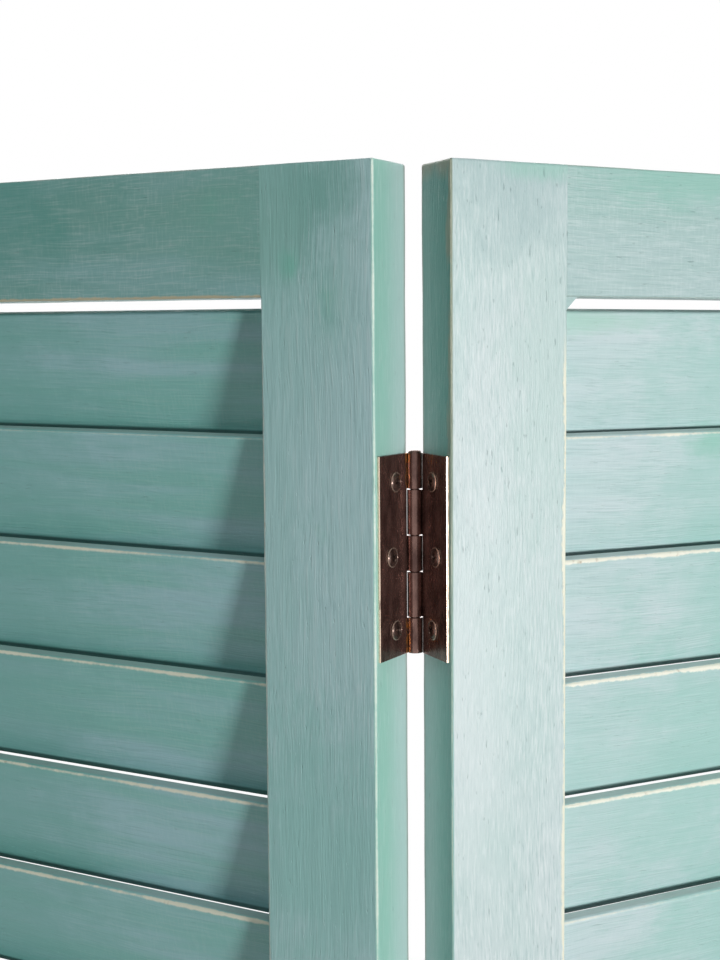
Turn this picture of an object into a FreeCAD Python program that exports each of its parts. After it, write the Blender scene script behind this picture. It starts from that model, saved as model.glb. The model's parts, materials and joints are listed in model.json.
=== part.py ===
import FreeCAD
import Part
import os
import re
import Sketcher

# A louvred timber folding screen: three slatted panels that butt hinges join into a zigzag.
# The origin is on the floor under the middle of the centre panel, +Z is up, +X runs along the
# screen and -Y is its front. Lengths are in millimetres and angles in degrees.

SIZES = {
    # panels and their frame timber
    "panel_height": 1700,
    "panel_width": 400,
    "board_thickness": 20,
    "stile_width": 40.5,
    "top_rail_height": 40.5,
    "middle_rail_height": 40.5,
    "bottom_rail_height": 40.5,
    "foot_height": 57.5,
    "edge_round": 0.8,
    # angle of each wing panel from the plane of the centre panel, as the screen stands
    "stand_fold": 54.3,
    # fixed slats, slanted with their top edge towards the front
    "louvre_width": 41.1,
    "louvre_thickness": 5,
    "louvre_round": 0.5,
    "louvre_tilt": 13,
    "louvre_pitch": 39.6,
    "louvre_end_gap": 3.35,
    "louvre_back_gap": 1.05,
    "louvre_tongue": 6,
    "slot_clearance": 0.1,
    # dowels between rails and stiles
    "dowel_diameter": 8,
    "dowel_edge_distance": 10,
    "dowel_rail_depth": 20,
    "dowel_back_wall": 6.5,
    "dowel_clearance": 0.05,
    "dowel_end_gap": 0.5,
    # butt hinges on the edge faces of the stiles
    "hinge_length": 63,
    "hinge_end_distance": 88.7,
    "leaf_thickness": 0.9,
    "leaf_edge_gap": 1.5,
    "axis_setback": 0.5,
    "pin_diameter": 2.9,
    "pin_clearance": 0.05,
    "pin_head_diameter": 4.2,
    "pin_head_height": 0.9,
    "long_knuckle": 14.1,
    "knuckle_gap": 0.35,
    "knuckle_relief": 0.1,
    # raised countersunk screws of the hinges
    "screw_end_offset": 8.5,
    "screw_near_offset": 9.5,
    "screw_far_offset": 11.8,
    "screw_head_diameter": 6.2,
    "screw_head_stand": 0.3,
    "screw_head_dome": 0.6,
    "screw_shank_diameter": 3.5,
    "screw_reach": 16,
    "screw_tip_length": 4,
    "screw_tip_gap": 0.5,
    "screw_clearance": 0.1,
    "recess_length": 3.4,
    "recess_width": 0.8,
    "recess_depth": 1,
}

# Lengths that follow from the driving sizes
RAIL_LENGTH = "(panel_width - 2 * stile_width)"
OPENING = (
    "((panel_height - foot_height - bottom_rail_height - middle_rail_height - top_rail_height) / 2)"
)
LOWER_OPENING_BASE = "(foot_height + bottom_rail_height)"
MIDDLE_RAIL_BASE = f"({LOWER_OPENING_BASE} + {OPENING})"
UPPER_OPENING_BASE = f"({MIDDLE_RAIL_BASE} + middle_rail_height)"
TOP_RAIL_BASE = "(panel_height - top_rail_height)"

SLAT_RISE = "(louvre_width * cos(louvre_tilt) + louvre_thickness * sin(louvre_tilt))"
# The slats fill their opening: as many as come nearest to the wanted pitch, spaced evenly
SLAT_SPAN = f"({OPENING} - {SLAT_RISE} - 2 * louvre_end_gap)"
SLAT_COUNT = f"(round({SLAT_SPAN} / louvre_pitch) + 1)"
SLAT_STEP = f"({SLAT_SPAN} / ({SLAT_COUNT} - 1))"

DOWEL_SINK = "(stile_width - screw_reach - dowel_back_wall)"
DOWEL_HOLE_RADIUS = "(dowel_diameter / 2 + dowel_clearance)"

KNUCKLE_RADIUS = "(pin_diameter / 2 + pin_clearance + leaf_thickness)"
NOTCH = f"({KNUCKLE_RADIUS} + knuckle_relief)"
LEAF_WIDTH = "(axis_setback + board_thickness - leaf_edge_gap)"
LEAF_FACE = f"({KNUCKLE_RADIUS} - leaf_thickness)"
SHORT_KNUCKLE = "((hinge_length - 2 * long_knuckle - 4 * knuckle_gap) / 3)"
KNUCKLE_STEP = f"({SHORT_KNUCKLE} + long_knuckle + 2 * knuckle_gap)"

SCREW_CONE_RADIUS = "(screw_head_diameter / 2 - screw_head_stand)"
SCREW_HOLE_RADIUS = (
    f"(max(screw_shank_diameter / 2; {SCREW_CONE_RADIUS} - leaf_thickness) + screw_clearance)"
)

BOTTOM_HINGE_BASE = "hinge_end_distance"
TOP_HINGE_BASE = "(panel_height - hinge_end_distance - hinge_length)"
MIDDLE_HINGE_BASE = f"(({BOTTOM_HINGE_BASE} + {TOP_HINGE_BASE}) / 2)"
HINGE_BASES = {"top": TOP_HINGE_BASE, "middle": MIDDLE_HINGE_BASE, "bottom": BOTTOM_HINGE_BASE}

# Cross recesses stand as the screwdriver left them: each screw is turned on by this angle
SCREW_TURN_STEP = 37
FIRST_SCREW_TURN = 10

EDGE_TOLERANCE = 1e-6
UP = FreeCAD.Vector(0, 0, 1)

doc = FreeCAD.newDocument("folding_screen")
sheet = doc.addObject("Spreadsheet::Sheet", "sizes")
for row, (name, number) in enumerate(SIZES.items(), start=1):
    sheet.set(f"A{row}", name)
    sheet.set(f"B{row}", str(number))
    sheet.setAlias(f"B{row}", name)
doc.recompute()

SIZE_WORDS = re.compile(r"\b(" + "|".join(SIZES) + r")\b")


def cells(text):
    """Expression in which each size name points at its cell of the sheet."""
    return SIZE_WORDS.sub(r"sizes.\1", text)


def value(text):
    """Number that an expression of size names comes to."""
    return float(sheet.evalExpression(cells(text)))


def bind(thing, name, text):
    """Tie a property of an object to an expression of size names."""
    thing.setExpression(name, cells(text))


def origin_feature(body, role):
    """Plane or axis of a body's own origin."""
    return next(item for item in body.Origin.OriginFeatures if item.Role == role)


def new_body(label):
    """Empty body whose label names its piece."""
    body = doc.addObject("PartDesign::Body", label)
    body.Label = label
    return body


def new_sketch(body, name, plane, offset="0"):
    """Sketch on one of the body's origin planes, moved along the plane's normal."""
    sketch = body.newObject("Sketcher::SketchObject", name)
    sketch.AttachmentSupport = (origin_feature(body, plane), [""])
    sketch.MapMode = "FlatFace"
    bind(sketch, "AttachmentOffset.Base.z", offset)
    return sketch


def pin_point(sketch, geometry, end, point):
    """Hold a sketch point at a place given by two expressions."""
    for kind, text in zip(("DistanceX", "DistanceY"), point):
        limit = Sketcher.Constraint(kind, -1, 1, geometry, end, value(text))
        bind(sketch, f"Constraints[{sketch.addConstraint(limit)}]", text)


def spot(point):
    """Sketch position of a point given by two expressions."""
    return FreeCAD.Vector(value(point[0]), value(point[1]), 0)


def add_outline(sketch, points):
    """Closed outline of straight lines through points given by expressions."""
    first = sketch.GeometryCount
    count = len(points)
    for index, point in enumerate(points):
        sketch.addGeometry(Part.LineSegment(spot(point), spot(points[(index + 1) % count])))
    for index, point in enumerate(points):
        following = first + (index + 1) % count
        sketch.addConstraint(Sketcher.Constraint("Coincident", first + index, 2, following, 1))
        pin_point(sketch, first + index, 1, point)


def rectangle(left, low, right, high):
    """Corners of an upright rectangle."""
    return [(left, low), (right, low), (right, high), (left, high)]


def add_circles(sketch, centres, radius):
    """Circles of one radius round centres given by expressions."""
    for centre in centres:
        circle = Part.Circle(spot(centre), UP, value(radius))
        index = sketch.addGeometry(circle)
        pin_point(sketch, index, 3, centre)
        limit = Sketcher.Constraint("Radius", index, value(radius))
        bind(sketch, f"Constraints[{sketch.addConstraint(limit)}]", radius)


def add_turned_outline(sketch, points, apex):
    """Half section for turning: straight steps out to a rim, then a dome up to an apex on the axis."""
    for point, following in zip(points, points[1:]):
        sketch.addGeometry(Part.LineSegment(spot(point), spot(following)))
    rim = spot(points[-1])
    top = spot(("0", apex))
    dome_height = top.y - rim.y
    dome_radius = (rim.x**2 + dome_height**2) / (2 * dome_height)
    centre = FreeCAD.Vector(0, top.y - dome_radius, 0)
    halfway = centre + (rim + top - centre * 2).normalize() * dome_radius
    dome = sketch.addGeometry(Part.Arc(rim, halfway, top))
    axis_line = sketch.addGeometry(Part.LineSegment(top, spot(points[0])))
    for index in range(len(points) - 2):
        sketch.addConstraint(Sketcher.Constraint("Coincident", index, 2, index + 1, 1))
    for index, point in enumerate(points[:-1]):
        pin_point(sketch, index, 1, point)
    pin_point(sketch, dome - 1, 2, points[-1])
    pin_point(sketch, axis_line, 1, ("0", apex))
    sketch.addConstraint(Sketcher.Constraint("Coincident", axis_line, 2, 0, 1))
    doc.recompute()
    starts_at_rim = near((sketch.getPoint(dome, 1) - rim).Length, 0)
    rim_end, top_end = (1, 2) if starts_at_rim else (2, 1)
    sketch.addConstraint(Sketcher.Constraint("Coincident", dome, rim_end, dome - 1, 2))
    sketch.addConstraint(Sketcher.Constraint("Coincident", dome, top_end, axis_line, 1))
    sketch.addConstraint(Sketcher.Constraint("PointOnObject", dome, 3, -2))


def add_feature(body, kind, name, sketch, length, reverse=False):
    """Pad or pocket of a sketch, as the body's new tip; a pocket has to take material away."""
    before = body.Tip.Shape.Volume if body.Tip else 0
    feature = body.newObject(f"PartDesign::{kind}", name)
    feature.Profile = sketch
    feature.Reversed = reverse
    bind(feature, "Length", length)
    body.Tip = feature
    doc.recompute()
    if kind == "Pocket" and not feature.Shape.Volume < before:
        raise ValueError(f"{body.Label}: {name} cuts nothing")
    return feature


def add_fillet(body, radius, wanted):
    """Round the edges of the tip whose middle point passes a test."""
    base = body.Tip
    edges = []
    for index, edge in enumerate(base.Shape.Edges, start=1):
        if wanted(edge.CenterOfMass):
            edges.append(f"Edge{index}")
    fillet = body.newObject("PartDesign::Fillet", "rounding")
    fillet.Base = (base, edges)
    bind(fillet, "Radius", radius)
    body.Tip = fillet
    doc.recompute()


def add_upright_pattern(body, features, step, count):
    """Repeat features up the body; with none named, repeat the whole shape."""
    pattern = body.newObject("PartDesign::LinearPattern", "repeats")
    if features:
        pattern.Originals = features
    else:
        pattern.TransformMode = "Whole shape"
    pattern.Direction = (origin_feature(body, "Z_Axis"), [""])
    pattern.Mode = "Spacing"
    bind(pattern, "Offset", step)
    bind(pattern, "Occurrences", count)
    body.Tip = pattern
    doc.recompute()


def near(first, second):
    """Whether two lengths are the same for picking edges."""
    return abs(first - second) < EDGE_TOLERANCE


def slat_corners(base, clearance="0"):
    """Section of the lowest slat of an opening, front to back and up, grown by a clearance."""
    reach = f"(louvre_width + 2 * {clearance})"
    depth = f"(louvre_thickness + 2 * {clearance})"
    foot_y = "(board_thickness - louvre_back_gap - louvre_thickness * cos(louvre_tilt))"
    grown_y = f"({foot_y} + {clearance} * (sin(louvre_tilt) - cos(louvre_tilt)))"
    grown_z = f"({base} + louvre_end_gap - {clearance} * (cos(louvre_tilt) + sin(louvre_tilt)))"
    back_y = f"({grown_y} + {depth} * cos(louvre_tilt))"
    back_z = f"({grown_z} + {depth} * sin(louvre_tilt))"
    rise_y = f"{reach} * sin(louvre_tilt)"
    rise_z = f"{reach} * cos(louvre_tilt)"
    return [
        (grown_y, grown_z),
        (back_y, back_z),
        (f"{back_y} - {rise_y}", f"{back_z} + {rise_z}"),
        (f"{grown_y} - {rise_y}", f"{grown_z} + {rise_z}"),
    ]


def dowel_places(base, rail_height):
    """Dowel axes in a rail, front to back and up."""
    middle = "board_thickness / 2"
    return [
        (middle, f"{base} + dowel_edge_distance"),
        (middle, f"{base} + {rail_height} - dowel_edge_distance"),
    ]


RAILS = {
    "top_rail": (TOP_RAIL_BASE, "top_rail_height"),
    "middle_rail": (MIDDLE_RAIL_BASE, "middle_rail_height"),
    "bottom_rail": ("foot_height", "bottom_rail_height"),
}
BANKS = {"upper": UPPER_OPENING_BASE, "lower": LOWER_OPENING_BASE}


def screw_places():
    """Screw axes on a leaf: distance from the pin and height from the leaf's end."""
    return [
        ("screw_near_offset", "screw_end_offset"),
        ("screw_far_offset", "hinge_length / 2"),
        ("screw_near_offset", "hinge_length - screw_end_offset"),
    ]


def stile(label, right_side, barrel_side):
    """Upright board with slat slots and dowel holes inside and screw holes outside.

    barrel_side says on which face of the panel the hinge barrels stand, or is None at a free edge.
    """
    body = new_body(label)
    outer = "panel_width" if right_side else "0"
    inner = "(panel_width - stile_width)" if right_side else "stile_width"
    low, high = (inner, outer) if right_side else (outer, inner)
    plan = new_sketch(body, "plan", "XY_Plane")
    add_outline(plan, rectangle(low, "0", high, "board_thickness"))
    add_feature(body, "Pad", "board", plan, "panel_height")
    inner_x = value(inner)
    add_fillet(body, "edge_round", lambda middle: not near(middle.x, inner_x))
    for bank, base in BANKS.items():
        section = new_sketch(body, f"{bank}_slot_section", "YZ_Plane", inner)
        add_outline(section, slat_corners(base, "slot_clearance"))
        depth = "louvre_tongue + slot_clearance"
        slot = add_feature(body, "Pocket", f"{bank}_slot", section, depth, right_side)
        add_upright_pattern(body, [slot], SLAT_STEP, SLAT_COUNT)
    holes = new_sketch(body, "dowel_centres", "YZ_Plane", inner)
    for base, rail_height in RAILS.values():
        add_circles(holes, dowel_places(base, rail_height), DOWEL_HOLE_RADIUS)
    add_feature(body, "Pocket", "dowel_holes", holes, f"{DOWEL_SINK} + dowel_end_gap", right_side)
    if barrel_side:
        pilots = new_sketch(body, "screw_centres", "YZ_Plane", outer)
        for base in HINGE_BASES.values():
            for offset, height in screw_places():
                behind = f"board_thickness + axis_setback - {offset}"
                ahead = f"{offset} - axis_setback"
                across = behind if barrel_side == "back" else ahead
                add_circles(pilots, [(across, f"{base} + {height}")], SCREW_HOLE_RADIUS)
        depth = "screw_reach + screw_tip_gap"
        add_feature(body, "Pocket", "screw_holes", pilots, depth, not right_side)
    return body


def rail(label, base, rail_height):
    """Cross board between the stiles, with dowel holes in both ends."""
    body = new_body(label)
    section = new_sketch(body, "section", "YZ_Plane", "stile_width")
    top = f"{base} + {rail_height}"
    add_outline(section, rectangle("0", base, "board_thickness", top))
    add_feature(body, "Pad", "board", section, RAIL_LENGTH)
    middle_x = value("panel_width / 2")
    add_fillet(body, "edge_round", lambda middle: near(middle.x, middle_x))
    for side, face in (("left", "stile_width"), ("right", "panel_width - stile_width")):
        holes = new_sketch(body, f"{side}_dowel_centres", "YZ_Plane", face)
        add_circles(holes, dowel_places(base, rail_height), DOWEL_HOLE_RADIUS)
        depth = "dowel_rail_depth + dowel_end_gap"
        add_feature(body, "Pocket", f"{side}_dowel_holes", holes, depth, side == "left")
    return body


def louvre_bank(label, base):
    """Slats of one opening, with their ends in the stiles' slots."""
    body = new_body(label)
    section = new_sketch(body, "section", "YZ_Plane", "stile_width - louvre_tongue")
    add_outline(section, slat_corners(base))
    add_feature(body, "Pad", "slat", section, f"{RAIL_LENGTH} + 2 * louvre_tongue")
    middle_x = value("panel_width / 2")
    add_fillet(body, "louvre_round", lambda middle: near(middle.x, middle_x))
    add_upright_pattern(body, None, SLAT_STEP, SLAT_COUNT)
    return body


def copies(label, master, places):
    """Group of separate copies of one solid; each place is three expressions and a turn."""
    group = doc.addObject("Part::Compound", label)
    group.Label = label
    links = []
    for index, (place, turn) in enumerate(places, start=1):
        link = doc.addObject("App::Link", f"{label}_{index}")
        link.LinkedObject = master
        link.Placement = FreeCAD.Placement(FreeCAD.Vector(), turn)
        for axis, text in zip("xyz", place):
            bind(link, f"Placement.Base.{axis}", text)
        links.append(link)
    group.Links = links
    doc.recompute()
    return group


def dowel():
    """Round wooden dowel along its own Z."""
    peg = doc.addObject("Part::Cylinder", "dowel")
    bind(peg, "Radius", "dowel_diameter / 2")
    bind(peg, "Height", f"{DOWEL_SINK} + dowel_rail_depth")
    doc.recompute()
    return peg


def dowel_set(label, master):
    """Dowels of one panel, two in each end of each rail."""
    lying = FreeCAD.Rotation(FreeCAD.Vector(0, 1, 0), 90)
    starts = (f"stile_width - {DOWEL_SINK}", "panel_width - stile_width - dowel_rail_depth")
    places = []
    for base, rail_height in RAILS.values():
        for start in starts:
            for across, height in dowel_places(base, rail_height):
                places.append(((start, across, height), lying))
    return copies(label, master, places)


def leaf(label, first_base, knuckle_length, knuckle_count):
    """Hinge leaf: pin axis on Z, plate along +X, its seat on the wood facing +Y."""
    body = new_body(label)
    plate = new_sketch(body, "plate_plan", "XY_Plane")
    add_outline(plate, rectangle(NOTCH, LEAF_FACE, LEAF_WIDTH, KNUCKLE_RADIUS))
    add_feature(body, "Pad", "plate", plate, "hinge_length")
    strap = new_sketch(body, "strap_plan", "XY_Plane", first_base)
    add_outline(strap, rectangle("0", LEAF_FACE, NOTCH, KNUCKLE_RADIUS))
    strap_pad = add_feature(body, "Pad", "strap", strap, knuckle_length)
    barrel = new_sketch(body, "barrel_plan", "XY_Plane", first_base)
    add_circles(barrel, [("0", "0")], KNUCKLE_RADIUS)
    barrel_pad = add_feature(body, "Pad", "barrel", barrel, knuckle_length)
    add_upright_pattern(body, [strap_pad, barrel_pad], KNUCKLE_STEP, knuckle_count)
    bore = new_sketch(body, "bore_plan", "XY_Plane")
    add_circles(bore, [("0", "0")], "pin_diameter / 2 + pin_clearance")
    add_feature(body, "Pocket", "bore", bore, "hinge_length", True)
    centres = new_sketch(body, "screw_centres", "XZ_Plane", f"-{LEAF_FACE}")
    add_circles(centres, screw_places(), SCREW_HOLE_RADIUS)
    doc.recompute()
    holes = body.newObject("PartDesign::Hole", "screw_holes")
    holes.Profile = centres
    holes.ThreadType = "None"
    holes.DepthType = "ThroughAll"
    bind(holes, "Diameter", f"2 * {SCREW_HOLE_RADIUS}")
    holes.HoleCutType = "Countersink"
    holes.HoleCutCustomValues = True
    holes.HoleCutCountersinkAngle = 90
    bind(holes, "HoleCutDiameter", f"2 * ({SCREW_CONE_RADIUS} + screw_clearance)")
    body.Tip = holes
    doc.recompute()
    return body


def turned(label, points, apex):
    """Body turned round its own Z from a half section."""
    body = new_body(label)
    section = new_sketch(body, "half_section", "XZ_Plane")
    add_turned_outline(section, points, apex)
    solid = body.newObject("PartDesign::Revolution", "turning")
    solid.Profile = section
    solid.ReferenceAxis = (section, ["V_Axis"])
    solid.Angle = 360
    body.Tip = solid
    doc.recompute()
    return body


def hinge_pin(label):
    """Pin with a domed head on the top knuckle; its foot is flush with the bottom knuckle."""
    rim = "pin_head_diameter / 2"
    shaft = "pin_diameter / 2"
    points = [("0", "0"), (shaft, "0"), (shaft, "hinge_length"), (rim, "hinge_length")]
    return turned(label, points, "hinge_length + pin_head_height")


def screw():
    """Raised countersunk wood screw, its origin at the face of the leaf and its head towards +Z."""
    shank = "screw_shank_diameter / 2"
    tip = "-leaf_thickness - screw_reach"
    points = [
        ("0", tip),
        (shank, f"{tip} + screw_tip_length"),
        (shank, f"{shank} - {SCREW_CONE_RADIUS}"),
        ("screw_head_diameter / 2", "screw_head_stand"),
    ]
    apex = "(screw_head_stand + screw_head_dome)"
    body = turned("screw", points, apex)
    cross = new_sketch(body, "cross_recess", "XY_Plane", apex)
    arm = "recess_length / 2"
    edge = "recess_width / 2"
    quarter = [(arm, f"-{edge}"), (arm, edge), (edge, edge)]
    outline = []
    for _ in range(4):
        outline.extend(quarter)
        quarter = [(f"-({y})", x) for x, y in quarter]
    add_outline(cross, outline)
    add_feature(body, "Pocket", "cross", cross, "recess_depth")
    return body


def screw_set(label, master, first_turn):
    """Screws of one leaf, in the leaf's own frame, with their cross recesses at uneven turns."""
    facing = FreeCAD.Rotation(FreeCAD.Vector(1, 0, 0), 90)
    places = []
    for index, (offset, height) in enumerate(screw_places()):
        turn = FreeCAD.Rotation(UP, first_turn + index * SCREW_TURN_STEP)
        places.append(((offset, LEAF_FACE, height), facing.multiply(turn)))
    return copies(label, master, places)


# Where each panel stands: the centre panel's middle is over the origin, and each wing panel turns
# about its hinge axis, behind the left edge of the centre panel and in front of its right edge.
axis_reach = value(KNUCKLE_RADIUS)
panel_width = value("panel_width")
axis_behind = value("board_thickness + axis_setback")
axis_ahead = value("-axis_setback")
half_fold = value("stand_fold / 2")
centre_turn = FreeCAD.Rotation(UP, half_fold)
wing_turn = FreeCAD.Rotation(UP, -half_fold)
panel_middle = FreeCAD.Vector(panel_width / 2, value("board_thickness / 2"), 0)
centre_place = FreeCAD.Placement(-centre_turn.multVec(panel_middle), centre_turn)


def wing_place(axis_on_centre, axis_on_wing):
    """Placement of a wing panel from its hinge axis in the two panels' own frames."""
    axis = centre_place.multVec(axis_on_centre)
    return FreeCAD.Placement(axis - wing_turn.multVec(axis_on_wing), wing_turn)


left_axis_on_centre = FreeCAD.Vector(-axis_reach, axis_behind, 0)
left_axis_on_wing = FreeCAD.Vector(panel_width + axis_reach, axis_behind, 0)
right_axis_on_centre = FreeCAD.Vector(panel_width + axis_reach, axis_ahead, 0)
right_axis_on_wing = FreeCAD.Vector(-axis_reach, axis_ahead, 0)
panel_places = {
    "left_panel": wing_place(left_axis_on_centre, left_axis_on_wing),
    "centre_panel": centre_place,
    "right_panel": wing_place(right_axis_on_centre, right_axis_on_wing),
}
# Barrel side of the hinges at the left and right edge of each panel
panel_edges = {
    "left_panel": (None, "back"),
    "centre_panel": ("back", "front"),
    "right_panel": ("front", None),
}

pieces = []


def keep(piece, place):
    """Put a finished piece at its place in the screen and list it for writing."""
    piece.Placement = place
    pieces.append(piece)


dowel_master = dowel()
screw_master = screw()

for panel, place in panel_places.items():
    left_barrels, right_barrels = panel_edges[panel]
    keep(stile(f"{panel}_left_stile", False, left_barrels), place)
    keep(stile(f"{panel}_right_stile", True, right_barrels), place)
    for rail_name, (base, rail_height) in RAILS.items():
        keep(rail(f"{panel}_{rail_name}", base, rail_height), place)
    for bank, base in BANKS.items():
        keep(louvre_bank(f"{panel}_{bank}_louvres", base), place)
    keep(dowel_set(f"{panel}_dowels", dowel_master), place)


def leaf_place(panel, axis, base, plate_along, seat_towards):
    """Placement of a leaf from its pin axis and the ways its plate and seat face on the panel."""
    along = FreeCAD.Vector(0, plate_along, 0)
    seat = FreeCAD.Vector(seat_towards, 0, 0)
    stands = along.cross(seat)
    height = value(base) if stands.z > 0 else value(f"{base} + hinge_length")
    turn = FreeCAD.Rotation(along, seat, stands, "XYZ")
    seated = FreeCAD.Placement(FreeCAD.Vector(axis.x, axis.y, height), turn)
    return panel_places[panel].multiply(seated)


# Each hinge: a three-knuckle leaf and the pin on the wing panel, a two-knuckle leaf on the centre
hinge_joints = {
    "left": ("left_panel", left_axis_on_wing, left_axis_on_centre, -1, -1),
    "right": ("right_panel", right_axis_on_wing, right_axis_on_centre, 1, 1),
}
turn_of_screws = FIRST_SCREW_TURN
for joint, (wing, axis_on_wing, axis_on_centre, plate_along, wing_seat) in hinge_joints.items():
    for level, base in HINGE_BASES.items():
        hinge = f"{joint}_{level}_hinge"
        wing_leaf_place = leaf_place(wing, axis_on_wing, base, plate_along, wing_seat)
        centre_leaf_place = leaf_place("centre_panel", axis_on_centre, base, plate_along, -wing_seat)
        pin_foot = FreeCAD.Vector(axis_on_wing.x, axis_on_wing.y, value(base))
        pin_place = panel_places[wing].multiply(FreeCAD.Placement(pin_foot, FreeCAD.Rotation()))
        keep(leaf(f"{hinge}_wing_leaf", "0", SHORT_KNUCKLE, "3"), wing_leaf_place)
        first_long = f"({SHORT_KNUCKLE} + knuckle_gap)"
        keep(leaf(f"{hinge}_centre_leaf", first_long, "long_knuckle", "2"), centre_leaf_place)
        keep(hinge_pin(f"{hinge}_pin"), pin_place)
        keep(screw_set(f"{hinge}_wing_screws", screw_master, turn_of_screws), wing_leaf_place)
        turn_of_screws += SCREW_TURN_STEP
        keep(screw_set(f"{hinge}_centre_screws", screw_master, turn_of_screws), centre_leaf_place)
        turn_of_screws += SCREW_TURN_STEP

doc.recompute()
for item in doc.Objects:
    if "Invalid" in item.State or "Error" in item.State:
        raise RuntimeError(f"{item.Label} failed: {item.State}")
for piece in pieces:
    if piece.Shape.isNull() or not piece.Shape.isValid():
        raise RuntimeError(f"{piece.Label} has no valid shape")

os.makedirs("parts", exist_ok=True)
for piece in pieces:
    piece.Shape.exportStep(f"parts/{piece.Label}.step")
print(f"{len(pieces)} pieces, {sum(len(piece.Shape.Solids) for piece in pieces)} solids")
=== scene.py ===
"""Louvred folding screen: three brush-painted timber panels joined by bronzed butt hinges.

Lengths are in metres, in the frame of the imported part: the origin is on the floor under the middle
of the centre panel, +Z is up, +X runs along the screen and -Y is its front. A panel's own frame has
x from its left edge, y from its front face and z from the floor.
"""

import json
import logging
import math
import random
from collections.abc import Callable, Iterator
from contextlib import contextmanager
from dataclasses import dataclass, field
from enum import Enum

import bmesh
import bpy
from mathutils import Euler, Matrix, Vector


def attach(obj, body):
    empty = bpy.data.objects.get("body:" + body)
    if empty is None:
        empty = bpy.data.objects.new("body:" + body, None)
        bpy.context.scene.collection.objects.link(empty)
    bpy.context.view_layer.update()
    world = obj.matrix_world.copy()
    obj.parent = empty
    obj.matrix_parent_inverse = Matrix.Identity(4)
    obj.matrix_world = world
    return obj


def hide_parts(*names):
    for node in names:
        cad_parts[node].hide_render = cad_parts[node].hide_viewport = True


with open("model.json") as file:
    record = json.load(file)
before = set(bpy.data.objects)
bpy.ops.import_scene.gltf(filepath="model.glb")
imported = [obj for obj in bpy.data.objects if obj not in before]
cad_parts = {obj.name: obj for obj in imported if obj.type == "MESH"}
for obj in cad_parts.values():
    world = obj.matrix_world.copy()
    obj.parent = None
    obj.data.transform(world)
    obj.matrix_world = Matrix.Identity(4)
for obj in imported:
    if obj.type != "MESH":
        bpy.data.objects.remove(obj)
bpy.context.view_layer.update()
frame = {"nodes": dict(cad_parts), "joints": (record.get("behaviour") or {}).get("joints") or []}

MM = 0.001
SEED = 7
MERGE = 1e-6
ALONG = 0.9
LONG_EDGE = 200 * MM
HALF_FOLD = math.radians(54.3 / 2)
QUARTER_TURN = math.pi / 2
ORIGIN = Vector((0, 0, 0))
X_AXIS = Vector((1, 0, 0))
Y_AXIS = Vector((0, 1, 0))
Z_AXIS = Vector((0, 0, 1))
Colour = tuple[float, float, float, float]
Piece = bpy.types.Object
Material = bpy.types.Material
Socket = bpy.types.NodeSocket
Value = Socket | float | tuple[float, ...] | Vector | Euler
Edge = bmesh.types.BMEdge
Face = bmesh.types.BMFace
log = logging.getLogger("folding_screen")


class Grain(Enum):
    """Way that a board's fibres and brush strokes run on its panel."""

    UPRIGHT = "upright"
    LEVEL = "level"


class Side(Enum):
    """Left or right board of a panel, seen from the front."""

    LEFT = "left"
    RIGHT = "right"


class Barrel(Enum):
    """Face of a panel on which the hinge barrels of one of its edges stand."""

    FRONT = "front"
    BACK = "back"


class Element(Enum):
    """Kind of mesh element that is selected in edit mode."""

    EDGE = "EDGE"
    FACE = "FACE"


def tint(code: str) -> Colour:
    """Turn a written colour, by the sRGB curve, into the linear one that a shader takes.

    Args:
        code: Six hexadecimal digits of red, green and blue, as a screen shows them.

    Returns:
        Linear red, green and blue, with an alpha of one.
    """
    levels = [int(code[start:start + 2], 16) / 255 for start in (0, 2, 4)]
    linear = [level / 12.92 if level <= 0.04045 else ((level + 0.055) / 1.055) ** 2.4 for level in levels]
    return (linear[0], linear[1], linear[2], 1.0)


# Modelling by hand


def take_up(piece: Piece) -> None:
    """Make one piece the only selected and the active object.

    Args:
        piece: Object to take up.
    """
    bpy.ops.object.select_all(action="DESELECT")
    piece.select_set(True)
    bpy.context.view_layer.objects.active = piece


def started(name: str, add: Callable[..., set[str]], **settings: object) -> Piece:
    """Start a piece as a primitive, with its place and turn written into its mesh.

    Args:
        name: Name of the new object.
        add: Operator that adds the primitive.
        settings: Size, place and turn of the primitive.

    Returns:
        The new object.
    """
    bpy.ops.object.select_all(action="DESELECT")
    add(**settings)
    piece = bpy.context.object
    piece.name = name
    bpy.ops.object.transform_apply(location=True, rotation=True, scale=True)
    return piece


def block(name: str, low: Vector, high: Vector) -> Piece:
    """Start a piece as a block between its lowest and its highest corner."""
    cube = bpy.ops.mesh.primitive_cube_add
    return started(name, cube, size=1, location=(low + high) / 2, scale=high - low)


def rod(name: str, radius: float, low: Vector, length: float, axis: Vector, sides: int) -> Piece:
    """Start a piece as a round rod.

    Args:
        name: Name of the new object.
        radius: Radius of the rod.
        low: Middle of the end that the rod starts from.
        length: Length of the rod.
        axis: Direction in which the rod runs.
        sides: Number of sides round the rod.

    Returns:
        The new object.
    """
    return started(
        name, bpy.ops.mesh.primitive_cylinder_add, vertices=sides, radius=radius, depth=length,
        location=low + axis.normalized() * length / 2, rotation=axis.to_track_quat("Z", "Y").to_euler()
    )


@contextmanager
def editing(piece: Piece) -> Iterator[None]:
    """Keep a piece in edit mode for the length of a with block.

    Args:
        piece: Mesh object to edit.
    """
    take_up(piece)
    bpy.ops.object.mode_set(mode="EDIT")
    yield
    bpy.ops.object.mode_set(mode="OBJECT")


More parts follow.
